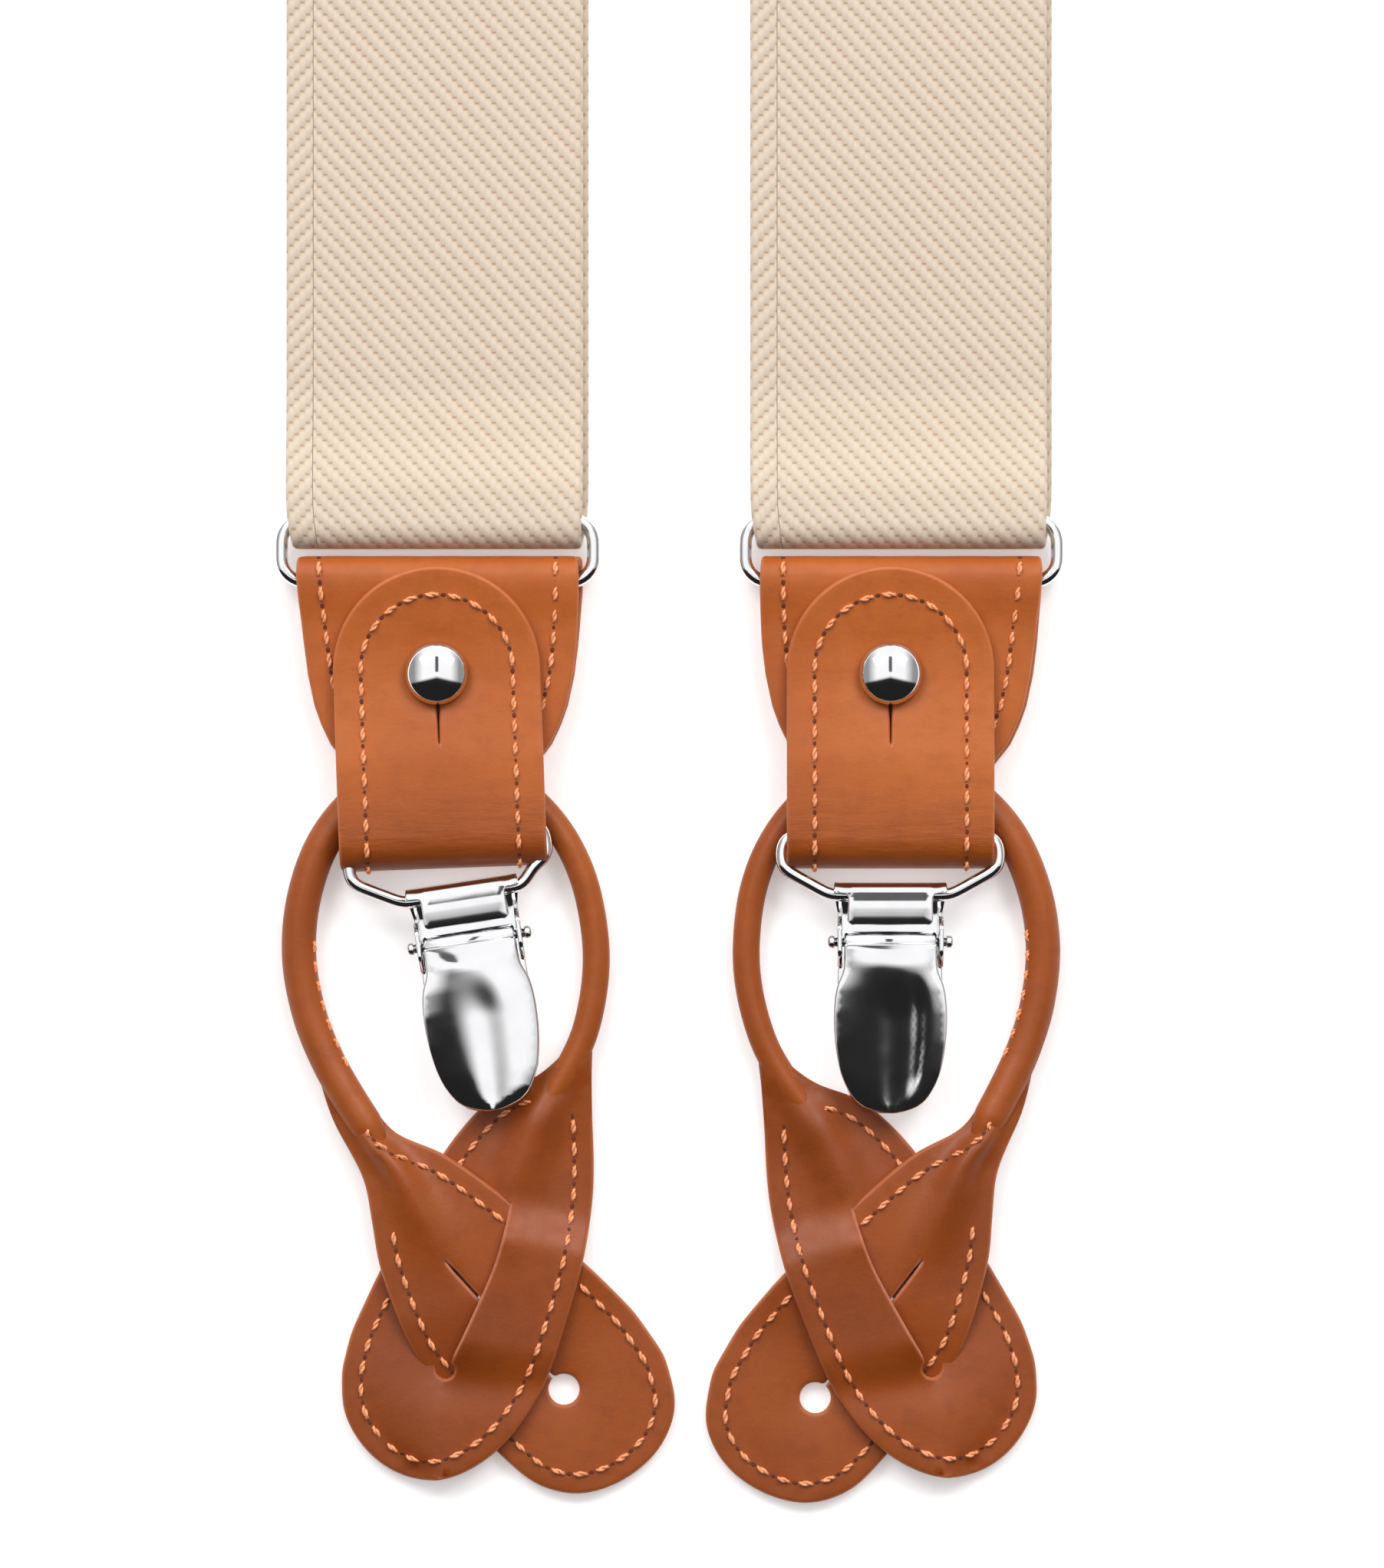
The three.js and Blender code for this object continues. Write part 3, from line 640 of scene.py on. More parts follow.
def sewing_tree():
    """Sets one stitch or hole at each point, along its 'along' and facing its 'out', and gives it its material."""
    tree = bpy.data.node_groups.new("sewing", "GeometryNodeTree")
    face = tree.interface
    for label, kind in (("Line", "NodeSocketGeometry"), ("Shape", "NodeSocketObject"),
                        ("Size", "NodeSocketFloat"), ("Jitter", "NodeSocketFloat"),
                        ("Seed", "NodeSocketInt"), ("Finish", "NodeSocketMaterial")):
        face.new_socket(label, in_out="INPUT", socket_type=kind)
    face.new_socket("Sewn", in_out="OUTPUT", socket_type="NodeSocketGeometry")
    nodes, links = tree.nodes, tree.links

    def add(kind, feeds=(), **settings):
        n = nodes.new(kind)
        for key, value in settings.items():
            setattr(n, key, value)
        for key, feed in dict(feeds).items():
            links.new(feed, n.inputs[key])
        return n

    given, end = add("NodeGroupInput").outputs, add("NodeGroupOutput")
    axes = add("FunctionNodeAxesToRotation", primary_axis="Z", secondary_axis="X")
    for k, name in enumerate(("out", "along")):
        direction = add("GeometryNodeInputNamedAttribute", data_type="FLOAT_VECTOR")
        direction.inputs["Name"].default_value = name
        links.new(direction.outputs[0], axes.inputs[k])
    shape = add("GeometryNodeObjectInfo", {"Object": given["Shape"]}).outputs["Geometry"]
    low, high = (add("ShaderNodeMath", {0: given["Size"], 1: given["Jitter"]}, operation=operation).outputs[0]
                 for operation in ("SUBTRACT", "ADD"))
    scale = add("FunctionNodeRandomValue", {2: low, 3: high, "Seed": given["Seed"]}, data_type="FLOAT").outputs[1]
    placing = {"Points": given["Line"], "Instance": shape, "Rotation": axes.outputs[0], "Scale": scale}
    real = add("GeometryNodeRealizeInstances", {0: add("GeometryNodeInstanceOnPoints", placing).outputs[0]})
    painted = add("GeometryNodeSetMaterial", {0: real.outputs[0], "Material": given["Finish"]})
    links.new(painted.outputs[0], end.inputs[0])
    return tree


STITCH = hidden("stitch_shape", two_ply_stitch(), THREAD_PAINT)
HOLE = hidden("hole_shape", needle_hole(), HOLE_SHADE_PAINT)
SEWING = sewing_tree()


def sewn(name, centres, along, out, shape, finish, size=1.0):
    """The sewing tree's result on these points, as a plain mesh."""
    line = make(name + "_line", centres, [], finish, along=along, out=out)
    change = line.modifiers.new("sewing", "NODES")
    change.node_group = SEWING
    ids = {s.name: s.identifier for s in SEWING.interface.items_tree if s.in_out == "INPUT"}
    for key, value in dict(Shape=shape, Size=size, Jitter=STITCH_JITTER, Seed=7, Finish=finish).items():
        change[ids[key]] = value
    bpy.context.view_layer.update()
    graph = bpy.context.evaluated_depsgraph_get()
    data = bpy.data.meshes.new_from_object(line.evaluated_get(graph))
    line.modifiers.remove(change)
    bpy.data.objects.remove(line)
    data.name = name
    obj = bpy.data.objects.new(name, data)
    bpy.context.scene.collection.objects.link(obj)
    data.polygons.foreach_set("use_smooth", [True] * len(data.polygons))
    if not data.materials:
        data.materials.append(finish)
    return obj


def seam(name, line, lay, world, **ride):
    """Stitches, each after a dark disc of painted shade at its needle hole, along a line (u, v) on work that lay()
    bends into shape.
    """
    line = resample(line, 0.1)
    reach = run_of(line)
    count = int(reach[-1] // STITCH_PITCH)
    probe = 0.2

    def at(length):
        uv = sampled(line, reach, length)
        step = probe * unit(sampled(line, reach, length + probe) - sampled(line, reach, length - probe))
        top = np.full(len(uv), LEATHER / 2)
        here = world(lay(*uv.T, top))
        ahead = world(lay(uv[:, 0] + step[:, 0], uv[:, 1] + step[:, 1], top)) - here
        beside = world(lay(uv[:, 0] - step[:, 1], uv[:, 1] + step[:, 0], top)) - here
        normal = unit(np.cross(ahead, beside))
        outward = world(lay(*uv.T, top + 0.5)) - here
        normal *= np.where((outward * normal).sum(1, keepdims=True) < 0, -1, 1)
        return here, ahead, normal

    # The holes are laid as dark discs of painted shade.
    for label, offset, shape, finish in (("thread", 0.5, STITCH, THREAD_PAINT), ("holes", 0.0, HOLE, HOLE_SHADE_PAINT)):
        placed = at((np.arange(count) + offset) * STITCH_PITCH + 0.3)
        settle(sewn(f"{name}_{label}", *placed, shape, finish), "leather", **ride)


# ---- Straps ----
def ribbon(bend, half, shift=None, along=1.0):
    """Webbing along a bend. Its cross section is flat with round edges; gives points, faces and weave positions."""
    s = np.arange(0, bend.length + along / 2, along)
    s[-1] = bend.length
    h = half(s)
    c = shift(s) if shift else np.zeros(len(s))
    edge = WEB_THICK / 2
    a = np.radians(np.linspace(90, -90, 7))[1:-1]
    columns = 56
    flat = np.linspace(-1, 1, columns)
    rings, weave = [], []
    for si, hi, ci in zip(s, h, c, strict=True):
        inner = hi - edge
        xs = np.r_[flat * inner, inner + edge * np.cos(a), flat[::-1] * inner, -inner - edge * np.cos(a)]
        ns = np.r_[np.full(columns, edge), edge * np.sin(a), np.full(columns, -edge), -edge * np.sin(a)]
        lengths = np.full(len(xs), si)
        rings.append(bend.place(xs + ci, lengths, ns))
        weave.append(np.column_stack([xs * (WEB_HALF / hi), lengths, 0 * xs]))
    points, faces = swept(rings)
    return points, faces, np.vstack(weave)


# Heights of the webbing's layers: on the surface, on top of the first, and over the adjuster.
LOW_Z, HIGH_Z, OVER_Z = 0.6, 2.1, 5.4
# The webbing's way round the ring and up to the layer above, as (y, z).
RING_FOLD = circle_points(32.7, RING_Z, 2.1, 270, 90, 24)
RING_RISE = [(38, 4.4), (44, 3.0), (50, 2.2), (60, HIGH_Z)]
# The two straps leave the adjusters straight, then bend together towards the patch.
BEND_START, BEND_RADIUS, BEND_ANGLE = 260.0, 200.0, math.radians(18)


def strap_half(bend):
    """Half width: squeezed a little where the strap turns round the ring."""
    fold = bend.at[np.argmin(bend.line[:, 0])]
    return lambda s: WEB_HALF - 0.5 * np.exp(-(((s - fold) / 4.5) ** 2))


def front_straps():
    for name, side in (("left", -1), ("right", 1)):
        x = side * STRAP_X
        lower = Bend(
            circle_points(ADJUSTER_Y - 6, 2.25, 1.65, 45, -90, 14),
            [(ADJUSTER_Y - 20, LOW_Z), (42, LOW_Z)],
            RING_FOLD,
            RING_RISE,
            [(ADJUSTER_Y - 40, HIGH_Z), (ADJUSTER_Y - 19, OVER_Z), (ADJUSTER_Y, OVER_Z)],
        )
        fold = lower.at[np.argmin(lower.line[:, 0])]

        def drift(s, fold=fold):
            return 0.35 - 0.7 * smooth(s, fold - 6, fold + 6)

        points, faces, weave = ribbon(lower, strap_half(lower), drift)
        between = (f"{name}_adjuster", f"{name}_tail", (x, ADJUSTER_Y - 30 - ORIGIN_Y, 2), (x, 60 - ORIGIN_Y, 2))
        obj = piece(f"{name}_strap_lower", points + [x, -ORIGIN_Y, 0], faces, "webbing",
                    nodes=[f"{name}_strap_tail"], between=between, weave=weave)

        upper = Bend([(0, OVER_Z), (19, OVER_Z), (40, LOW_Z), (306, LOW_Z), (316, 2.4), (366, 2.4)])
        points, faces, weave = ribbon(upper, lambda s: WEB_HALF + 0 * s, along=2.0)
        off, y, z = points.T
        lean = np.clip((y - BEND_START) / BEND_RADIUS, 0, BEND_ANGLE)
        past = np.clip(y - BEND_START - BEND_RADIUS * BEND_ANGLE, 0, None)
        mid_x = -BEND_RADIUS * (1 - np.cos(lean)) - past * math.sin(BEND_ANGLE)
        mid_y = np.minimum(y, BEND_START) + BEND_RADIUS * np.sin(lean) + past * math.cos(BEND_ANGLE)
        px = STRAP_X + mid_x + off * np.cos(lean)
        py = ADJUSTER_Y + mid_y + off * np.sin(lean) - ORIGIN_Y
        px = np.maximum(px, 0.2)
        between = ("harness", f"{name}_adjuster", (x, 540 - ORIGIN_Y, 2), (x, ADJUSTER_Y + 25 - ORIGIN_Y, 2))
        obj = piece(f"{name}_strap_upper", np.column_stack([side * px, py, z]), faces, "webbing",
                    nodes=[f"{name}_front_strap"], between=between, weave=weave)


def rear_strap(end):
    """The rear end's strap, measured from that end's own zero."""
    top = 214.0
    bend = Bend([(75, LOW_Z), (42, LOW_Z)], RING_FOLD, RING_RISE,
                [(78, HIGH_Z), (90, LOW_Z), (top - 30, LOW_Z), (top - 20, 2.4), (top, 2.4)])
    points, faces, weave = ribbon(bend, strap_half(bend), along=1.5)
    obj = piece("rear_strap_woven", end.world(points), faces, "webbing", "harness", ["rear_strap"], weave=weave)


# ---- Y patch ----
PATCH_BACK_Z, PATCH_FRONT_Z = 0.75, 4.05


def patch():
    meet = 560 + BEND_RADIUS * math.sin(BEND_ANGLE)
    right = [(0, -6), (38, 6), (41, 8), (42.8, 11), (43, 15), (25, 58), (23.6, 61.5), (21, 65.2), (19, 66), (0, 66)]
    outline = np.array(right + [(-x, y) for x, y in right[-2:0:-1]], float) + [0, meet - ORIGIN_Y]
    for name, z in (("patch_back", PATCH_BACK_Z), ("patch_front", PATCH_FRONT_Z)):
        points, faces, rim = slab(outline, [], LEATHER, 0.5, 0.7, 1.6)
        piece(name + "_leather", points + [0, 0, z], faces, "leather", "harness", [name], rim=rim)
    loop = resample(outline, 0.5, closed=True)
    line = loop + left_of(loop) * (3.0 if area(loop) > 0 else -3.0)

    def lay(u, v, n):
        return np.column_stack([u, v, n + PATCH_FRONT_Z])

    seam("patch_seam", np.vstack([line, line[:1]]), lay, lambda p: p, body="harness")


# ---- Tab and flap ----
# The tab's half width by its y.
TAB_HALF = [(-8, 9.4), (-1, 9.6), (2, 11.6), (5, 14.0), (7.5, 15.2), (10, 16.1), (14, 16.95), (18, 17.45),
            (24, 17.95), (29, 18.2)]


def tab(end):
    """The tab's leather: front layer, fold round the ring and back layer down to the neck."""
    bend = Bend(
        [(1.5, 3.65), (16, 3.65), (21, 3.85), (24.5, 4.45)],
        circle_points(26.6, RING_Z, 1.95, 80, -90, 20),
        [(20, 0.75), (-2, 0.75)],
        ease=20,
    )
    turn = bend.at[np.argmax(bend.line[:, 0])]

    def reach(s):
        return np.interp(s, bend.at, bend.line[:, 0])

    s = np.arange(0, bend.length, 0.5)
    h = table(reach(s), TAB_HALF) - 0.25 * np.exp(-(((s - turn) / 2.0) ** 2))
    outline = np.vstack([np.column_stack([h, s]), np.column_stack([-h, s])[::-1]])
    points, faces, rim = slab(outline, [], LEATHER, 0.5, 0.6, 0.9)
    u, v, n = points.T

    def lay(u, v, n):
        p = bend.place(u, v, n)
        front = end.off + (end.ring - end.off) * smooth(p[:, 1], 16, 30)
        p[:, 0] += np.where(v < turn, front, end.ring + 0.6 * end.mirror)
        return p

    soft = 0.1 * np.sin(u * 0.9) * np.exp(-(((v - turn + 6) / 4) ** 2))
    # fold gives creases near the ring and at the lower end, with painted shade in them.
    fold = 0.25 * smooth(reach(v), 16, 28) + 0.3 * smooth(8 - reach(v), 0, 8)
    piece(f"{end.name}_tab_leather", end.world(lay(u, v, n + soft)), faces, "leather", f"{end.name}_tab",
          [f"{end.name}_tab"], rim=rim, fold=fold, tone=0.15)
    for side in (-1, 1):
        s = np.linspace(bend.where(2.5), turn - 0.5, 60)
        line = np.column_stack([side * (table(reach(s), TAB_HALF) - 3.0), s])
        seam(f"{end.name}_tab_seam_{'lr'[side > 0]}", line[::-1], lay, end.world, body=f"{end.name}_tab")


def flap(end):
    """The neck, the lower fold and the buttoned flap: one piece of leather that bends at the fold."""
    bend = Bend(
        [(4, 0.75), (-3, 0.75)],
        circle_points(BEND_Y, BEND_Z, BEND_MID, 270, 90, 28),
        [(-3, 6.85), (3, 6.6), (8, 5.95), (13, 5.5), (18, 5.6), (23, 6.2), (28.2, 6.9)],
        ease=20,
    )
    bottom = bend.at[np.argmin(bend.line[:, 0])]
    top = bend.where(28.0, last=True)
    s = np.arange(0, top - FLAP_HALF, 0.5)
    waist = [(0, 9.6), (bottom - 9, 9.8), (bottom - 2, 12.9), (bottom + 1.5, FLAP_HALF), (top, FLAP_HALF)]
    h = table(s, waist)
    crown = circle_points(0, top - FLAP_HALF, FLAP_HALF, 0, 180, 60)
    outline = np.vstack([np.column_stack([h, s]), crown, np.column_stack([-h, s])[::-1]])
    stud_at = bend.where(STUD_Y, last=True)
    tip = bend.where(4.9, last=True)
    slit = [(-0.09, tip + 3), (-0.06, tip + 0.8), (0, tip), (0.06, tip + 0.8), (0.09, tip + 3)]
    keyhole = np.vstack([circle_points(0, stud_at, 2.6, -83, 263, 34), slit])
    points, faces, rim = slab(outline, [keyhole], LEATHER, 0.45, 0.5, 0.75)
    u, v, n = points.T
    around = np.hypot(u, v - stud_at)
    dish = -0.35 * np.exp(-(((around - 3.2) / 2.2) ** 2))
    dish += 0.22 * np.exp(-((np.hypot(u, v - bottom - 14) / 7) ** 2))
    # fold marks the lower fold, where the creases are painted darker.
    fold = smooth(bottom + 15 - v, 0, 12) * smooth(v, bottom - 4, bottom + 3)
    x, y, _ = end.leant(np.array([[0, BEND_Y, BEND_Z]]))[0]
    between = (f"{end.name}_tab", f"{end.name}_flap", (x, y, 1.6), (x, y, 4.7))
    # Painted shade: the flap's top face darkens towards the lower fold.
    piece(f"{end.name}_flap_leather", end.leant(bend.place(u, v, n + dish)), faces, "leather",
          nodes=[f"{end.name}_flap"], between=between, rim=rim, fold=0.15 + fold, tone=0.1 + 0.5 * fold * (n > 0))
    inset = FLAP_HALF - 3.55
    s = np.linspace(bottom - 0.5, top - FLAP_HALF, 80)
    side = np.column_stack([np.full(80, inset), s])
    line = np.vstack([side, circle_points(0, top - FLAP_HALF, inset, 0, 180, 60), side[::-1] * [-1, 1]])
    seam(f"{end.name}_flap_seam", line, bend.place, end.leant, between=between)


def stud(end):
    dome = [(4.0 * math.cos(t), 7.1 + 2.1 * math.sin(t)) for t in np.radians(np.linspace(0, 88, 14))]
    rim = [(1.9, 4.8), (2.9, 4.8), (2.9, 5.1), (1.9, 5.15), (1.9, 6.5), (3.6, 6.5), (3.92, 6.62), (4.03, 6.85)]
    a = np.linspace(0, 2 * np.pi, 64, endpoint=False)
    points, faces = swept([[(r * math.cos(t), STUD_Y + r * math.sin(t), z) for t in a] for r, z in rim + dome])
    piece(f"{end.name}_stud_cap", end.world(points), faces, "chrome", f"{end.name}_tab", [f"{end.name}_stud"])


def ring(end):
    corner, reach, rise = 3.0, 20.0, 4.0
    right = np.vstack([circle_points(reach - corner, RING_Y - rise + corner, corner, -90, 0, 12),
                       circle_points(reach - corner, RING_Y + rise - corner, corner, 0, 90, 12)])
    line = np.vstack([right, [0, 2 * RING_Y] - right])
    line = np.column_stack([line, np.full(len(line), RING_Z)])
    points, faces = tube(resample(line, 0.6, closed=True), 0.88, 18, closed=True)
    piece(f"{end.name}_ring_wire", end.ringed(points), faces, "chrome", f"{end.name}_ring", [f"{end.name}_ring"])


# ---- Button loop ----
# The rolled cord's mid line, from the front arm over the fold to the rear arm.
CORD_LINE = [
    (-8.2, -46.5, 1.0), (-10.6, -42.0, 1.6), (-13.4, -38.0, 1.9), (-16.1, -33.2, 2.0), (-17.9, -27, 2.0),
    (-18.4, -21, 2.1), (-17.6, -14, 2.3), (-15.4, -8, 2.4), (-11.8, -3, 2.65), (-7.5, 0.3, 3.7), (0, 2, 3.6),
    (7.5, 0.5, 3.7), (11.9, -2.4, 2.65), (15.9, -7.3, 2.4), (18.6, -14, 2.3), (19.6, -21, 2.1), (18.9, -28, 2.0),
    (17.1, -34.0, 2.1), (14.8, -39.0, 2.5), (12.4, -43.5, 2.8), (10.2, -47.5, 2.7),
]
CORD_STEP = 0.45
CORD_MIDDLE_Z = 2.1

FRONT_ARM = dict(
    outer=[(-16.7, -31.5), (-16.9, -35.0), (-16.5, -38.5), (-16.1, -44), (-15.8, -50), (-15.2, -55), (-13.6, -61.8),
           (-11.3, -68.3), (-8.6, -75)],
    inner=[(-16.0, -31.8), (-14.0, -34.8), (-9.6, -38.3), (-3.6, -40.6), (1.6, -45.2), (5.6, -50.4), (9.5, -56.5),
           (13.2, -62.4), (17, -69)],
    round=[(-6.5, -79), (-3.2, -83.2), (1.2, -86.8), (6.5, -88.8), (11.6, -88.1), (16, -84.8), (18.7, -79.6),
           (18.7, -74)],
    slit=[(-4.7, -54), (-2.2, -61.2), (1.4, -68), (5.35, -74.8)],
    hole=(5.35, -74.8),
    hole_radius=1.2,
)
REAR_ARM = dict(
    outer=[(18.1, -31.0), (18.4, -35.0), (17.9, -38.5), (16.8, -42.4), (15.0, -46.4), (13.6, -50.2), (13.1, -55.5),
           (12.4, -62), (9.4, -72), (5.6, -78)],
    inner=[(16.9, -31.2), (14.8, -34.8), (12.5, -38.8), (9.4, -43.9), (2.9, -47.5), (-4.6, -53.9), (-9.4, -58.6),
           (-14.4, -63.6), (-19.3, -69.4)],
    round=[(2.4, -82.6), (-1.2, -86.9), (-5.2, -90.6), (-10.4, -92.2), (-16, -91), (-21, -87.4), (-23.6, -82),
           (-22.8, -75.4)],
    slit=[(4.3, -60.7), (-2.6, -69.7), (-9.55, -78.7)],
    hole=(-9.55, -78.7),
    hole_radius=2.0,
)


class Arm:
    """One flat arm of a button loop: its outline, slit and heights, with (along, side) as its own coordinates."""

    def __init__(self, shape, over=None):
        self.over = None if over is None else resample(over, 0.4, closed=True)
        outer, inner = spline(shape["outer"]), spline(shape["inner"])
        outline = np.vstack([outer, spline(shape["round"]), inner[::-1]])
        self.outline = eased(resample(outline, 0.4, closed=True), 12)
        if area(self.outline) <= 0:
            self.outline = self.outline[::-1]
        a, b = in_equal_parts(outer, 60), in_equal_parts(inner, 60)
        tip = np.array(shape["round"], float)[3]
        ends = []
        for t in np.linspace(0.06, 1, 18):
            half = math.sqrt(max(1 - t * t, 0.0))
            mid = (a[-1] + b[-1]) / 2 * (1 - t) + tip * t
            ends.append((mid + (a[-1] - b[-1]) / 2 * half, mid + (b[-1] - a[-1]) / 2 * half))
        outer_side = np.vstack([a, [e[0] for e in ends]])
        inner_side = np.vstack([b, [e[1] for e in ends]])
        t = np.linspace(-1, 1, 41)
        share = ((1 + t) / 2)[None, :, None]
        grid = outer_side[:, None] * (1 - share) + inner_side[:, None] * share
        self.samples = grid.reshape(-1, 2)
        self.sample_along = np.repeat(np.linspace(0, 1, len(grid)), len(t))
        self.sample_side = np.tile(t, len(grid))
        self.slit = resample(spline(shape["slit"]), 0.4)
        along, side = self.own(self.slit)
        order = np.argsort(along)
        self.slit_along, self.slit_side = along[order], side[order]
        self.hole, self.hole_radius = np.array(shape["hole"]), shape["hole_radius"]

    def own(self, points):
        """(along, side) of points in plan, read smoothly from the nearest few samples."""
        along, side = np.zeros(len(points)), np.zeros(len(points))
        for start in range(0, len(points), 1500):
            part = points[start : start + 1500]
            d = ((part[:, None] - self.samples[None]) ** 2).sum(2)
            near = np.argpartition(d, 6, axis=1)[:, :6]
            w = 1 / (np.take_along_axis(d, near, 1) + 0.02)
            w /= w.sum(1, keepdims=True)
            along[start : start + 1500] = (self.sample_along[near] * w).sum(1)
            side[start : start + 1500] = (self.sample_side[near] * w).sum(1)
        return along, side

    def keyhole(self):
        """The slit and its round hole as one opening."""
        normal = left_of(self.slit, closed=False)
        gap = 0.16 * smooth(np.arange(len(self.slit)), 0, 6)[:, None]
        body = len(self.slit) - 5
        a, b = (self.slit + normal * gap)[:body], (self.slit - normal * gap)[:body]
        back = self.slit[body - 1] - self.hole
        angle = math.degrees(math.atan2(back[1], back[0]))
        gap = math.degrees(0.3 / self.hole_radius)
        around = circle_points(*self.hole, self.hole_radius, angle + gap, angle + 360 - gap, 26)
        if np.linalg.norm(b[-1] - around[0]) > np.linalg.norm(a[-1] - around[0]):
            a, b = b, a
        return np.vstack([b, around, a[::-1][:-1]])

    def height(self, plan, along, side):
        """Height of the leather's underside. One lip of the front arm's slit rises over the other arm."""
        if self.over is None:
            return 1.8 * (1 - smooth(along, 0.58, 0.8))
        from_slit = side - np.interp(along, self.slit_along, self.slit_side)
        away = np.where(inside(plan, self.over), 0, nearest(plan, self.over))
        opened = smooth(along, self.slit_along[0] - 0.02, self.slit_along[0] + 0.09)
        paddle = smooth(along, 0.70, 0.9)
        lifted = 3.5 * np.exp(-((away / 4.5) ** 2)) * (1 + 0.4 * np.clip(from_slit, -1, 0)) * (0.2 + 0.8 * opened)
        lifted *= 1 - smooth(along, 0.74, 0.9)
        lifted = (lifted**4 + (1.9 * paddle) ** 4) ** 0.25
        low = 1.9 * paddle * (1 - np.clip(from_slit, 0, 1))
        lip = (from_slit < 0) * opened + smooth(-from_slit, -0.5, 0.5) * (1 - opened)
        return low + (lifted - low) * lip

    def lay(self, u, v, n):
        """Sets flat work down: round as the cord at first, then a flat sheet with the cord's ridge dying away on it."""
        plan = np.column_stack([u, v])
        along, side = self.own(plan)
        cord_like = 1 - smooth(along, 0.08, 0.33)
        shift = self.slit_side[0] * smooth(along, 0.1, 0.4)
        narrow = 1 + 1.3 * smooth(along, 0.06, 0.3)
        ridge = np.exp(-(((side - shift) * narrow * 1.15) ** 2))
        oval = np.sqrt(np.clip(1 - (side * 0.98) ** 2, 0, 1))
        profile = oval + (ridge - oval) * smooth(along, 0.06, 0.2)
        half = LEATHER / 2
        round_half = 1.4 * (0.3 + 0.7 * smooth(along, 0.0, 0.11)) * profile
        thick = half * (1 - cord_like) + np.maximum(round_half, 0.3) * cord_like
        crest = 2.5 * ridge * smooth(along, 0.14, 0.28) * (1 - smooth(along, 0.3, 0.6)) * (n > 0)
        flat = self.height(plan, along, side) + half
        mid = flat * (1 - cord_like) + CORD_MIDDLE_Z * cord_like
        paddle = smooth(along, 0.62, 0.85)
        hole = np.hypot(*(plan - self.hole).T)
        wave = 0.4 * (1 - side**2) * paddle - 0.55 * np.exp(-((hole / 4.0) ** 2)) * paddle
        wave = np.maximum(wave, -0.3)
        return np.column_stack([u, v, mid + wave + n / half * thick + crest])


ARMS = {"rear": Arm(REAR_ARM)}
ARMS["front"] = Arm(FRONT_ARM, over=ARMS["rear"].outline)
ARM_MESHES = {}
for key, arm in ARMS.items():
    cut_points, cut_faces, cut_rim = slab(arm.outline, [arm.keyhole()], LEATHER, 0.5, 0.55, 0.85)
    cut_raw = np.exp(-((nearest(cut_points[:, :2], arm.slit[:-6]) / 0.35) ** 4)) * (cut_rim > 0.2)
    # The rim's painted highlight fades in along the arm, away from the cord.
    cut_rim = cut_rim * smooth(arm.own(cut_points[:, :2])[0], 0.12, 0.28)
    ARM_MESHES[key] = (arm.lay(*cut_points.T), cut_faces, cut_rim, cut_raw)


def button_loop(end):
    name, body = end.name, f"{end.name}_loop"
    line = resample(spline(CORD_LINE), CORD_STEP)
    length = run_of(line)
    taper = smooth(length, 0, 6) * smooth(length[-1] - length, 0, 6)
    full = 1.74 + 0.46 * smooth(line[:, 0], -4, 14)
    sides = 28
    points, faces = tube(line, full * (0.3 + 0.7 * taper), sides, tall=0.95)
    around = np.tile(np.linspace(0, 360, sides, endpoint=False), len(line))
    run = np.repeat(length, sides)
    upper = np.sin(np.radians(around)) > 0
    ridge = 0.05 * np.sin(np.radians(around * 5) + 0.6 * np.sin(run * 0.11)) * upper
    points = points + unit(points - np.repeat(line, sides, axis=0)) * ridge[:, None]
    # Painted shade: the cord is set darker than the flap.
    piece(f"{name}_loop_cord", end.looped(points), faces, "leather", body, [f"{name}_button_loop"],
          fold=0.25, tone=0.55)
    leg = line[(line[:, 0] > 0) & (line[:, 1] < -19) & (line[:, 1] > -37)][:: round(STITCH_PITCH / CORD_STEP)]
    inward = np.column_stack([-left_of(leg[:, :2], closed=False), np.zeros(len(leg))])
    lift = 0.5
    out = inward * math.cos(lift) + np.array([0, 0, math.sin(lift)])
    spots = leg + out * 2.2
    here, ahead, above = (end.looped(p) for p in (spots, spots + np.gradient(leg, axis=0), spots + out))
    settle(sewn(f"{name}_cord_thread", here, ahead - here, above - here, STITCH, THREAD_PAINT, 0.8), "leather", body)
    # Painted shade: the arms are set darker still.
    for key, arm, outer_start, tone in (("rear", ARMS["rear"], 0.40, 0.8), ("front", ARMS["front"], 0.22, 0.9)):
        points, faces, rim, raw = ARM_MESHES[key]
        piece(f"{name}_{key}_arm", end.looped(points), faces, "leather", body, rim=rim, fold=0.1, tone=tone, raw=raw)
        loop = resample(arm.outline, 0.3, closed=True)
        inner = loop + left_of(loop) * 2.5
        along, side = arm.own(inner)
        keep = (along > np.where(side < 0, outer_start, 0.17)) & (nearest(inner, loop) > 2.3)
        first = int(np.argmax(~keep))
        keep, inner = np.roll(keep, -first), np.roll(inner, -first, axis=0)
        seam(f"{name}_{key}_seam", relaxed(inner[keep], 8), arm.lay, end.looped, body=body)


# ---- Clip ----
PIN_Y, PIN_Z = -20.2, 5.4
CLIP_SHEET = 0.6
EAR_X = 6.5
# Half widths of the back plate, as (y, half width).
PLATE_HALF = [(-42, 1.2), (-41.6, 3.0), (-40.3, 4.9), (-37, 6.4), (-32, 7.0), (-24, 6.7), (-17, 6.6)]


def barrel(right, sides):
    """A bar round the pin's line, from the (x, radius) pairs of its right half."""
    profile = [(-x, r) for x, r in right[::-1]] + right
    a = np.linspace(0, 2 * np.pi, sides, endpoint=False)
    return swept([[(x, PIN_Y + r * math.cos(t), PIN_Z + r * math.sin(t)) for t in a] for x, r in profile])


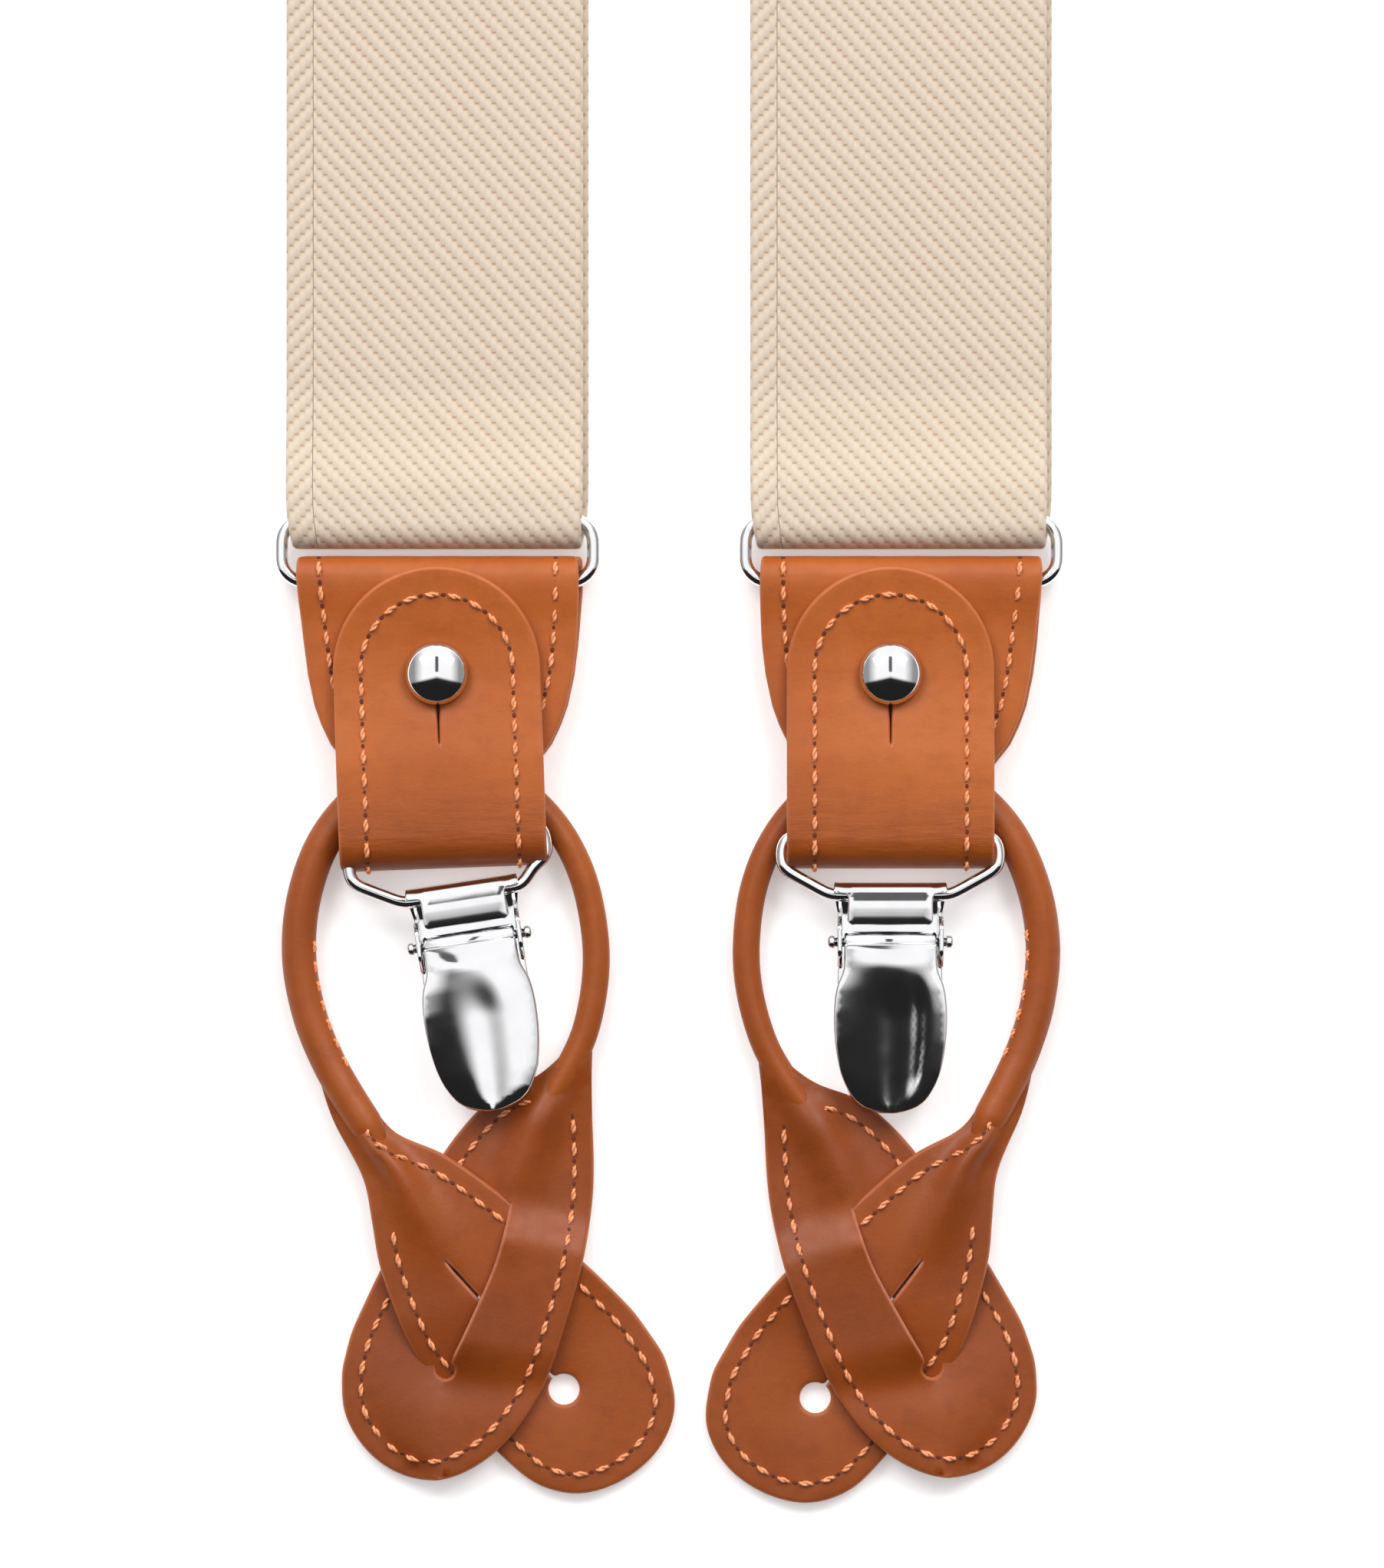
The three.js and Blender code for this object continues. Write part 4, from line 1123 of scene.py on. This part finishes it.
def clip_wire(end):
    corner = circle_points(12.0, -8.4, 1.9, 90, 0, 8)
    low = circle_points(12.3, -9.8, 1.6, 0, -62, 8)
    loop = mirrored(np.vstack([corner, low, [(8.6, -13.7), (7.6, -14.2)]]))
    loop = eased(resample(loop, 0.5, closed=True), 4)
    loop[:, 0] *= 1 - end.pinch * smooth(loop[:, 0], 6, 12)
    points, faces = tube(np.column_stack([loop, np.full(len(loop), 5.0)]), 0.82, 16, closed=True)
    wire = f"{end.name}_clip_wire"
    piece(f"{end.name}_clip_bail", end.clipped(points), faces, "chrome", wire, [wire])


def clip_plate(end):
    """The back plate, turned over the wire into a T, with its two ears, and the pin through them."""
    bend = Bend([(-43, 2.7), (-16, 2.75)], circle_points(-14.2, 5.0, 1.42, -80, 80, 24), [(-15.3, 6.45), (-18.0, 6.3)],
                ease=6)
    s = np.arange(bend.where(-42) + 0.05, bend.where(-17), 0.4)
    back = np.column_stack([table(np.interp(s, bend.at, bend.line[:, 0]), PLATE_HALF), s])
    wrap, stop = bend.at[np.argmax(bend.line[:, 0])], bend.length
    tee = [(7.2, wrap - 2.2), (7.25, wrap + 1.6), (7.0, wrap + 2.0), (5.6, wrap + 2.1), (5.4, wrap + 2.4),
           (5.4, stop - 0.4), (5.0, stop)]
    points, faces, _ = slab(mirrored(np.vstack([back, tee])), [], CLIP_SHEET, 0.22, 0.35, 0.8)
    parts = [(bend.place(*points.T), faces)]
    ear = [(-23.6, 3.0), (-16.9, 3.0), (-16.9, 5.6), (-18.3, 7.0), (-21.6, 7.0), (-23.6, 5.0)]
    pin_hole = circle_points(PIN_Y, PIN_Z, 0.85, 0, 360, 16)[:-1]
    points, faces, _ = slab(ear, [pin_hole], CLIP_SHEET, 0.2, 0.35, 0.8)
    y, z, x = points.T
    parts += [(np.column_stack([side * EAR_X + x, y, z]), faces) for side in (-1, 1)]
    points, faces = merged(*parts)
    body = f"{end.name}_clip"
    piece(f"{body}_stamping", end.clipped(points), faces, "chrome", body, [f"{body}_body"])

    points, faces = barrel([(7.1, 0.58), (7.15, 0.8), (7.45, 0.85), (7.8, 0.8), (8.0, 0.5), (8.05, 0.05)], 18)
    piece(f"{body}_rivet", end.clipped(points), faces, "chrome", body, [f"{body}_pin"])


def clip_lever(end):
    edge = [(-42.1, 0.8), (-41.9, 2.0), (-41.2, 3.6), (-39.8, 5.0), (-37, 6.35), (-33, 7.1), (-29, 7.25),
            (-26, 6.9), (-23.6, 6.05), (-20.4, 5.9)]
    right = spline([(half, y) for y, half in edge], per=6)
    points, faces, _ = slab(mirrored(right), [], CLIP_SHEET, 0.28, 0.3, 0.6)
    u, v, n = points.T
    half = table(v, edge)
    across = np.clip(np.abs(u) / np.maximum(half, 0.5), 0, 1)
    fall, tilt, crown = end.lever
    z = 6.9 - fall * np.clip(-v - 20.5, 0, None) - tilt * u
    z += crown * (1 - across**2) * smooth(-v, 19.0, 23.5)
    z -= 0.2 * np.exp(-(((u / half - 0.1) / 0.3) ** 2)) * smooth(-v, 24, 30)
    z -= end.groove * np.exp(-(((u / half - 0.5) / 0.11) ** 2)) * smooth(-v, 24, 29) * smooth(v, -41, -37)
    roll = barrel([(5.6, 1.3), (5.85, 1.1), (5.9, 0.6)], 28)
    points, faces = merged((np.column_stack([u, v, z + n]), faces), roll)
    lever = f"{end.name}_clip_lever"
    piece(f"{end.name}_clip_tongue", end.clipped(points), faces, "chrome", lever, [lever])


def clip_jaw(end):
    """The inner jaw and the two grip pads."""
    jaw, body = f"{end.name}_clip_jaw", f"{end.name}_clip"
    right = [(max(half - 0.9, 0.5), y + (2 if y < -40 else 0)) for y, half in PLATE_HALF if y < -23]
    points, faces, _ = slab(mirrored(right + [(5.7, -22.6)]), [], 0.5, 0.2, 0.5, 1.5)
    piece(f"{end.name}_clip_inner_jaw", end.clipped(points + [0, 0, 5.1]), faces, "chrome", jaw, [jaw])
    for label, z, rides_on in (("upper", 4.3, jaw), ("lower", 3.55, body)):
        points, faces, _ = slab([(-5, -38), (5, -38), (5, -30), (-5, -30)], [], 0.5, 0.15, 0.5, 0.5)
        points[:, 2] += 0.03 * np.sign(np.sin(points[:, 1] * 4.2)) * (np.abs(points[:, 0]) < 4.6)
        points = end.clipped(points + [0, 0, z])
        piece(f"{end.name}_grip_{label}", points, faces, "rubber", rides_on, [f"{body}_pad_{label}"])


for name in ENDS:
    place = End(name)
    for build in (tab, flap, stud, ring, button_loop, clip_wire, clip_plate, clip_lever, clip_jaw):
        build(place)
front_straps()
rear_strap(End("rear"))
patch()

# The adjusters and the stud's screws keep their own solids, with softened edges.
for node_name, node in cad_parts.items():
    if "_adjuster_" in node_name or node_name.endswith("_screw"):
        node.data.materials.clear()
        node.data.materials.append(PAINTS["chrome"])
        soften = node.modifiers.new("edges", "BEVEL")
        soften.width = 0.0002
        soften.segments = 2
        soften.limit_method = "ANGLE"

# ---- Stage ----
CENTRE = (0.0029, -0.440)
CAMERA_HEIGHT = 1.2
LEATHER_HEIGHT = 0.005
PICTURE_LENGTH = 0.2004  # what the picture's longer side spans at the leather's height
SENSOR = 36.0


def pale_floor():
    half = 3.0
    data = bpy.data.meshes.new("floor")
    data.from_pydata([(-half, -half, 0), (half, -half, 0), (half, half, 0), (-half, half, 0)], [], [(0, 1, 2, 3)])
    pale = (0.96, 0.96, 0.96, 1)
    paint = Paint("floor").finish(Base_Color=pale, Roughness=1.0, Emission_Color=pale, Emission_Strength=0.3)
    data.materials.append(paint)
    obj = bpy.data.objects.new("floor", data)
    obj.location = (0, 0, -0.0002)
    bpy.context.scene.collection.objects.link(obj)


def lamp(name, location):
    data = bpy.data.lights.new(name, "AREA")
    data.energy, data.size = 7.2, 0.6
    obj = bpy.data.objects.new(name, data)
    obj.visible_camera = False
    obj.location = location
    aim = Vector((0, CENTRE[1], 0)) - Vector(location)
    obj.rotation_euler = aim.to_track_quat("-Z", "Y").to_euler()
    bpy.context.scene.collection.objects.link(obj)


def sky(world):
    """Bright above and beyond the object, dark on the near side and low at the sides, with one slim dark bar."""
    world.use_nodes = True
    tree = world.node_tree
    direction = tree.nodes.new("ShaderNodeTexCoord").outputs["Generated"]
    split = tree.nodes.new("ShaderNodeSeparateXYZ")
    tree.links.new(direction, split.inputs[0])
    x, y, _ = (Value(tree, s) for s in split.outputs)
    aside = x.math("ABSOLUTE")
    across = aside * 0.25 + y
    bright = ((across + 0.16) / 0.09).math("MAXIMUM", 0.0).math("MINIMUM", 1.0)
    low_side = ((aside - 0.5) / 0.35).math("MAXIMUM", 0.0).math("MINIMUM", 1.0)
    bright = bright * (1.0 - low_side * 0.72)
    bar = (aside - 0.055).math("LESS_THAN", 0.0) * y.math("GREATER_THAN", 0.07)
    bar = bar * y.math("LESS_THAN", 0.62)
    plug(tree, tree.nodes["Background"].inputs[1], bright * (1.0 - bar * 0.93) * 1.2 + 0.018)
    tree.nodes["Background"].inputs[0].default_value = (1, 1, 1, 1)


pale_floor()
world = bpy.data.worlds.new("studio")
bpy.context.scene.world = world
sky(world)
for side in (-1, 1):
    lamp(f"softbox_{side}", (side * 0.55, CENTRE[1] + 0.8, 0.95))

camera_data = bpy.data.cameras.new("camera")
camera = bpy.data.objects.new("camera", camera_data)
bpy.context.scene.collection.objects.link(camera)
camera_data.sensor_fit = "AUTO"
camera_data.sensor_width = SENSOR
camera_data.lens = SENSOR / PICTURE_LENGTH * (CAMERA_HEIGHT - LEATHER_HEIGHT)
camera_data.clip_end = 20
camera.location = (*CENTRE, CAMERA_HEIGHT)
bpy.context.scene.camera = camera
bpy.context.scene.view_settings.view_transform = "Standard"
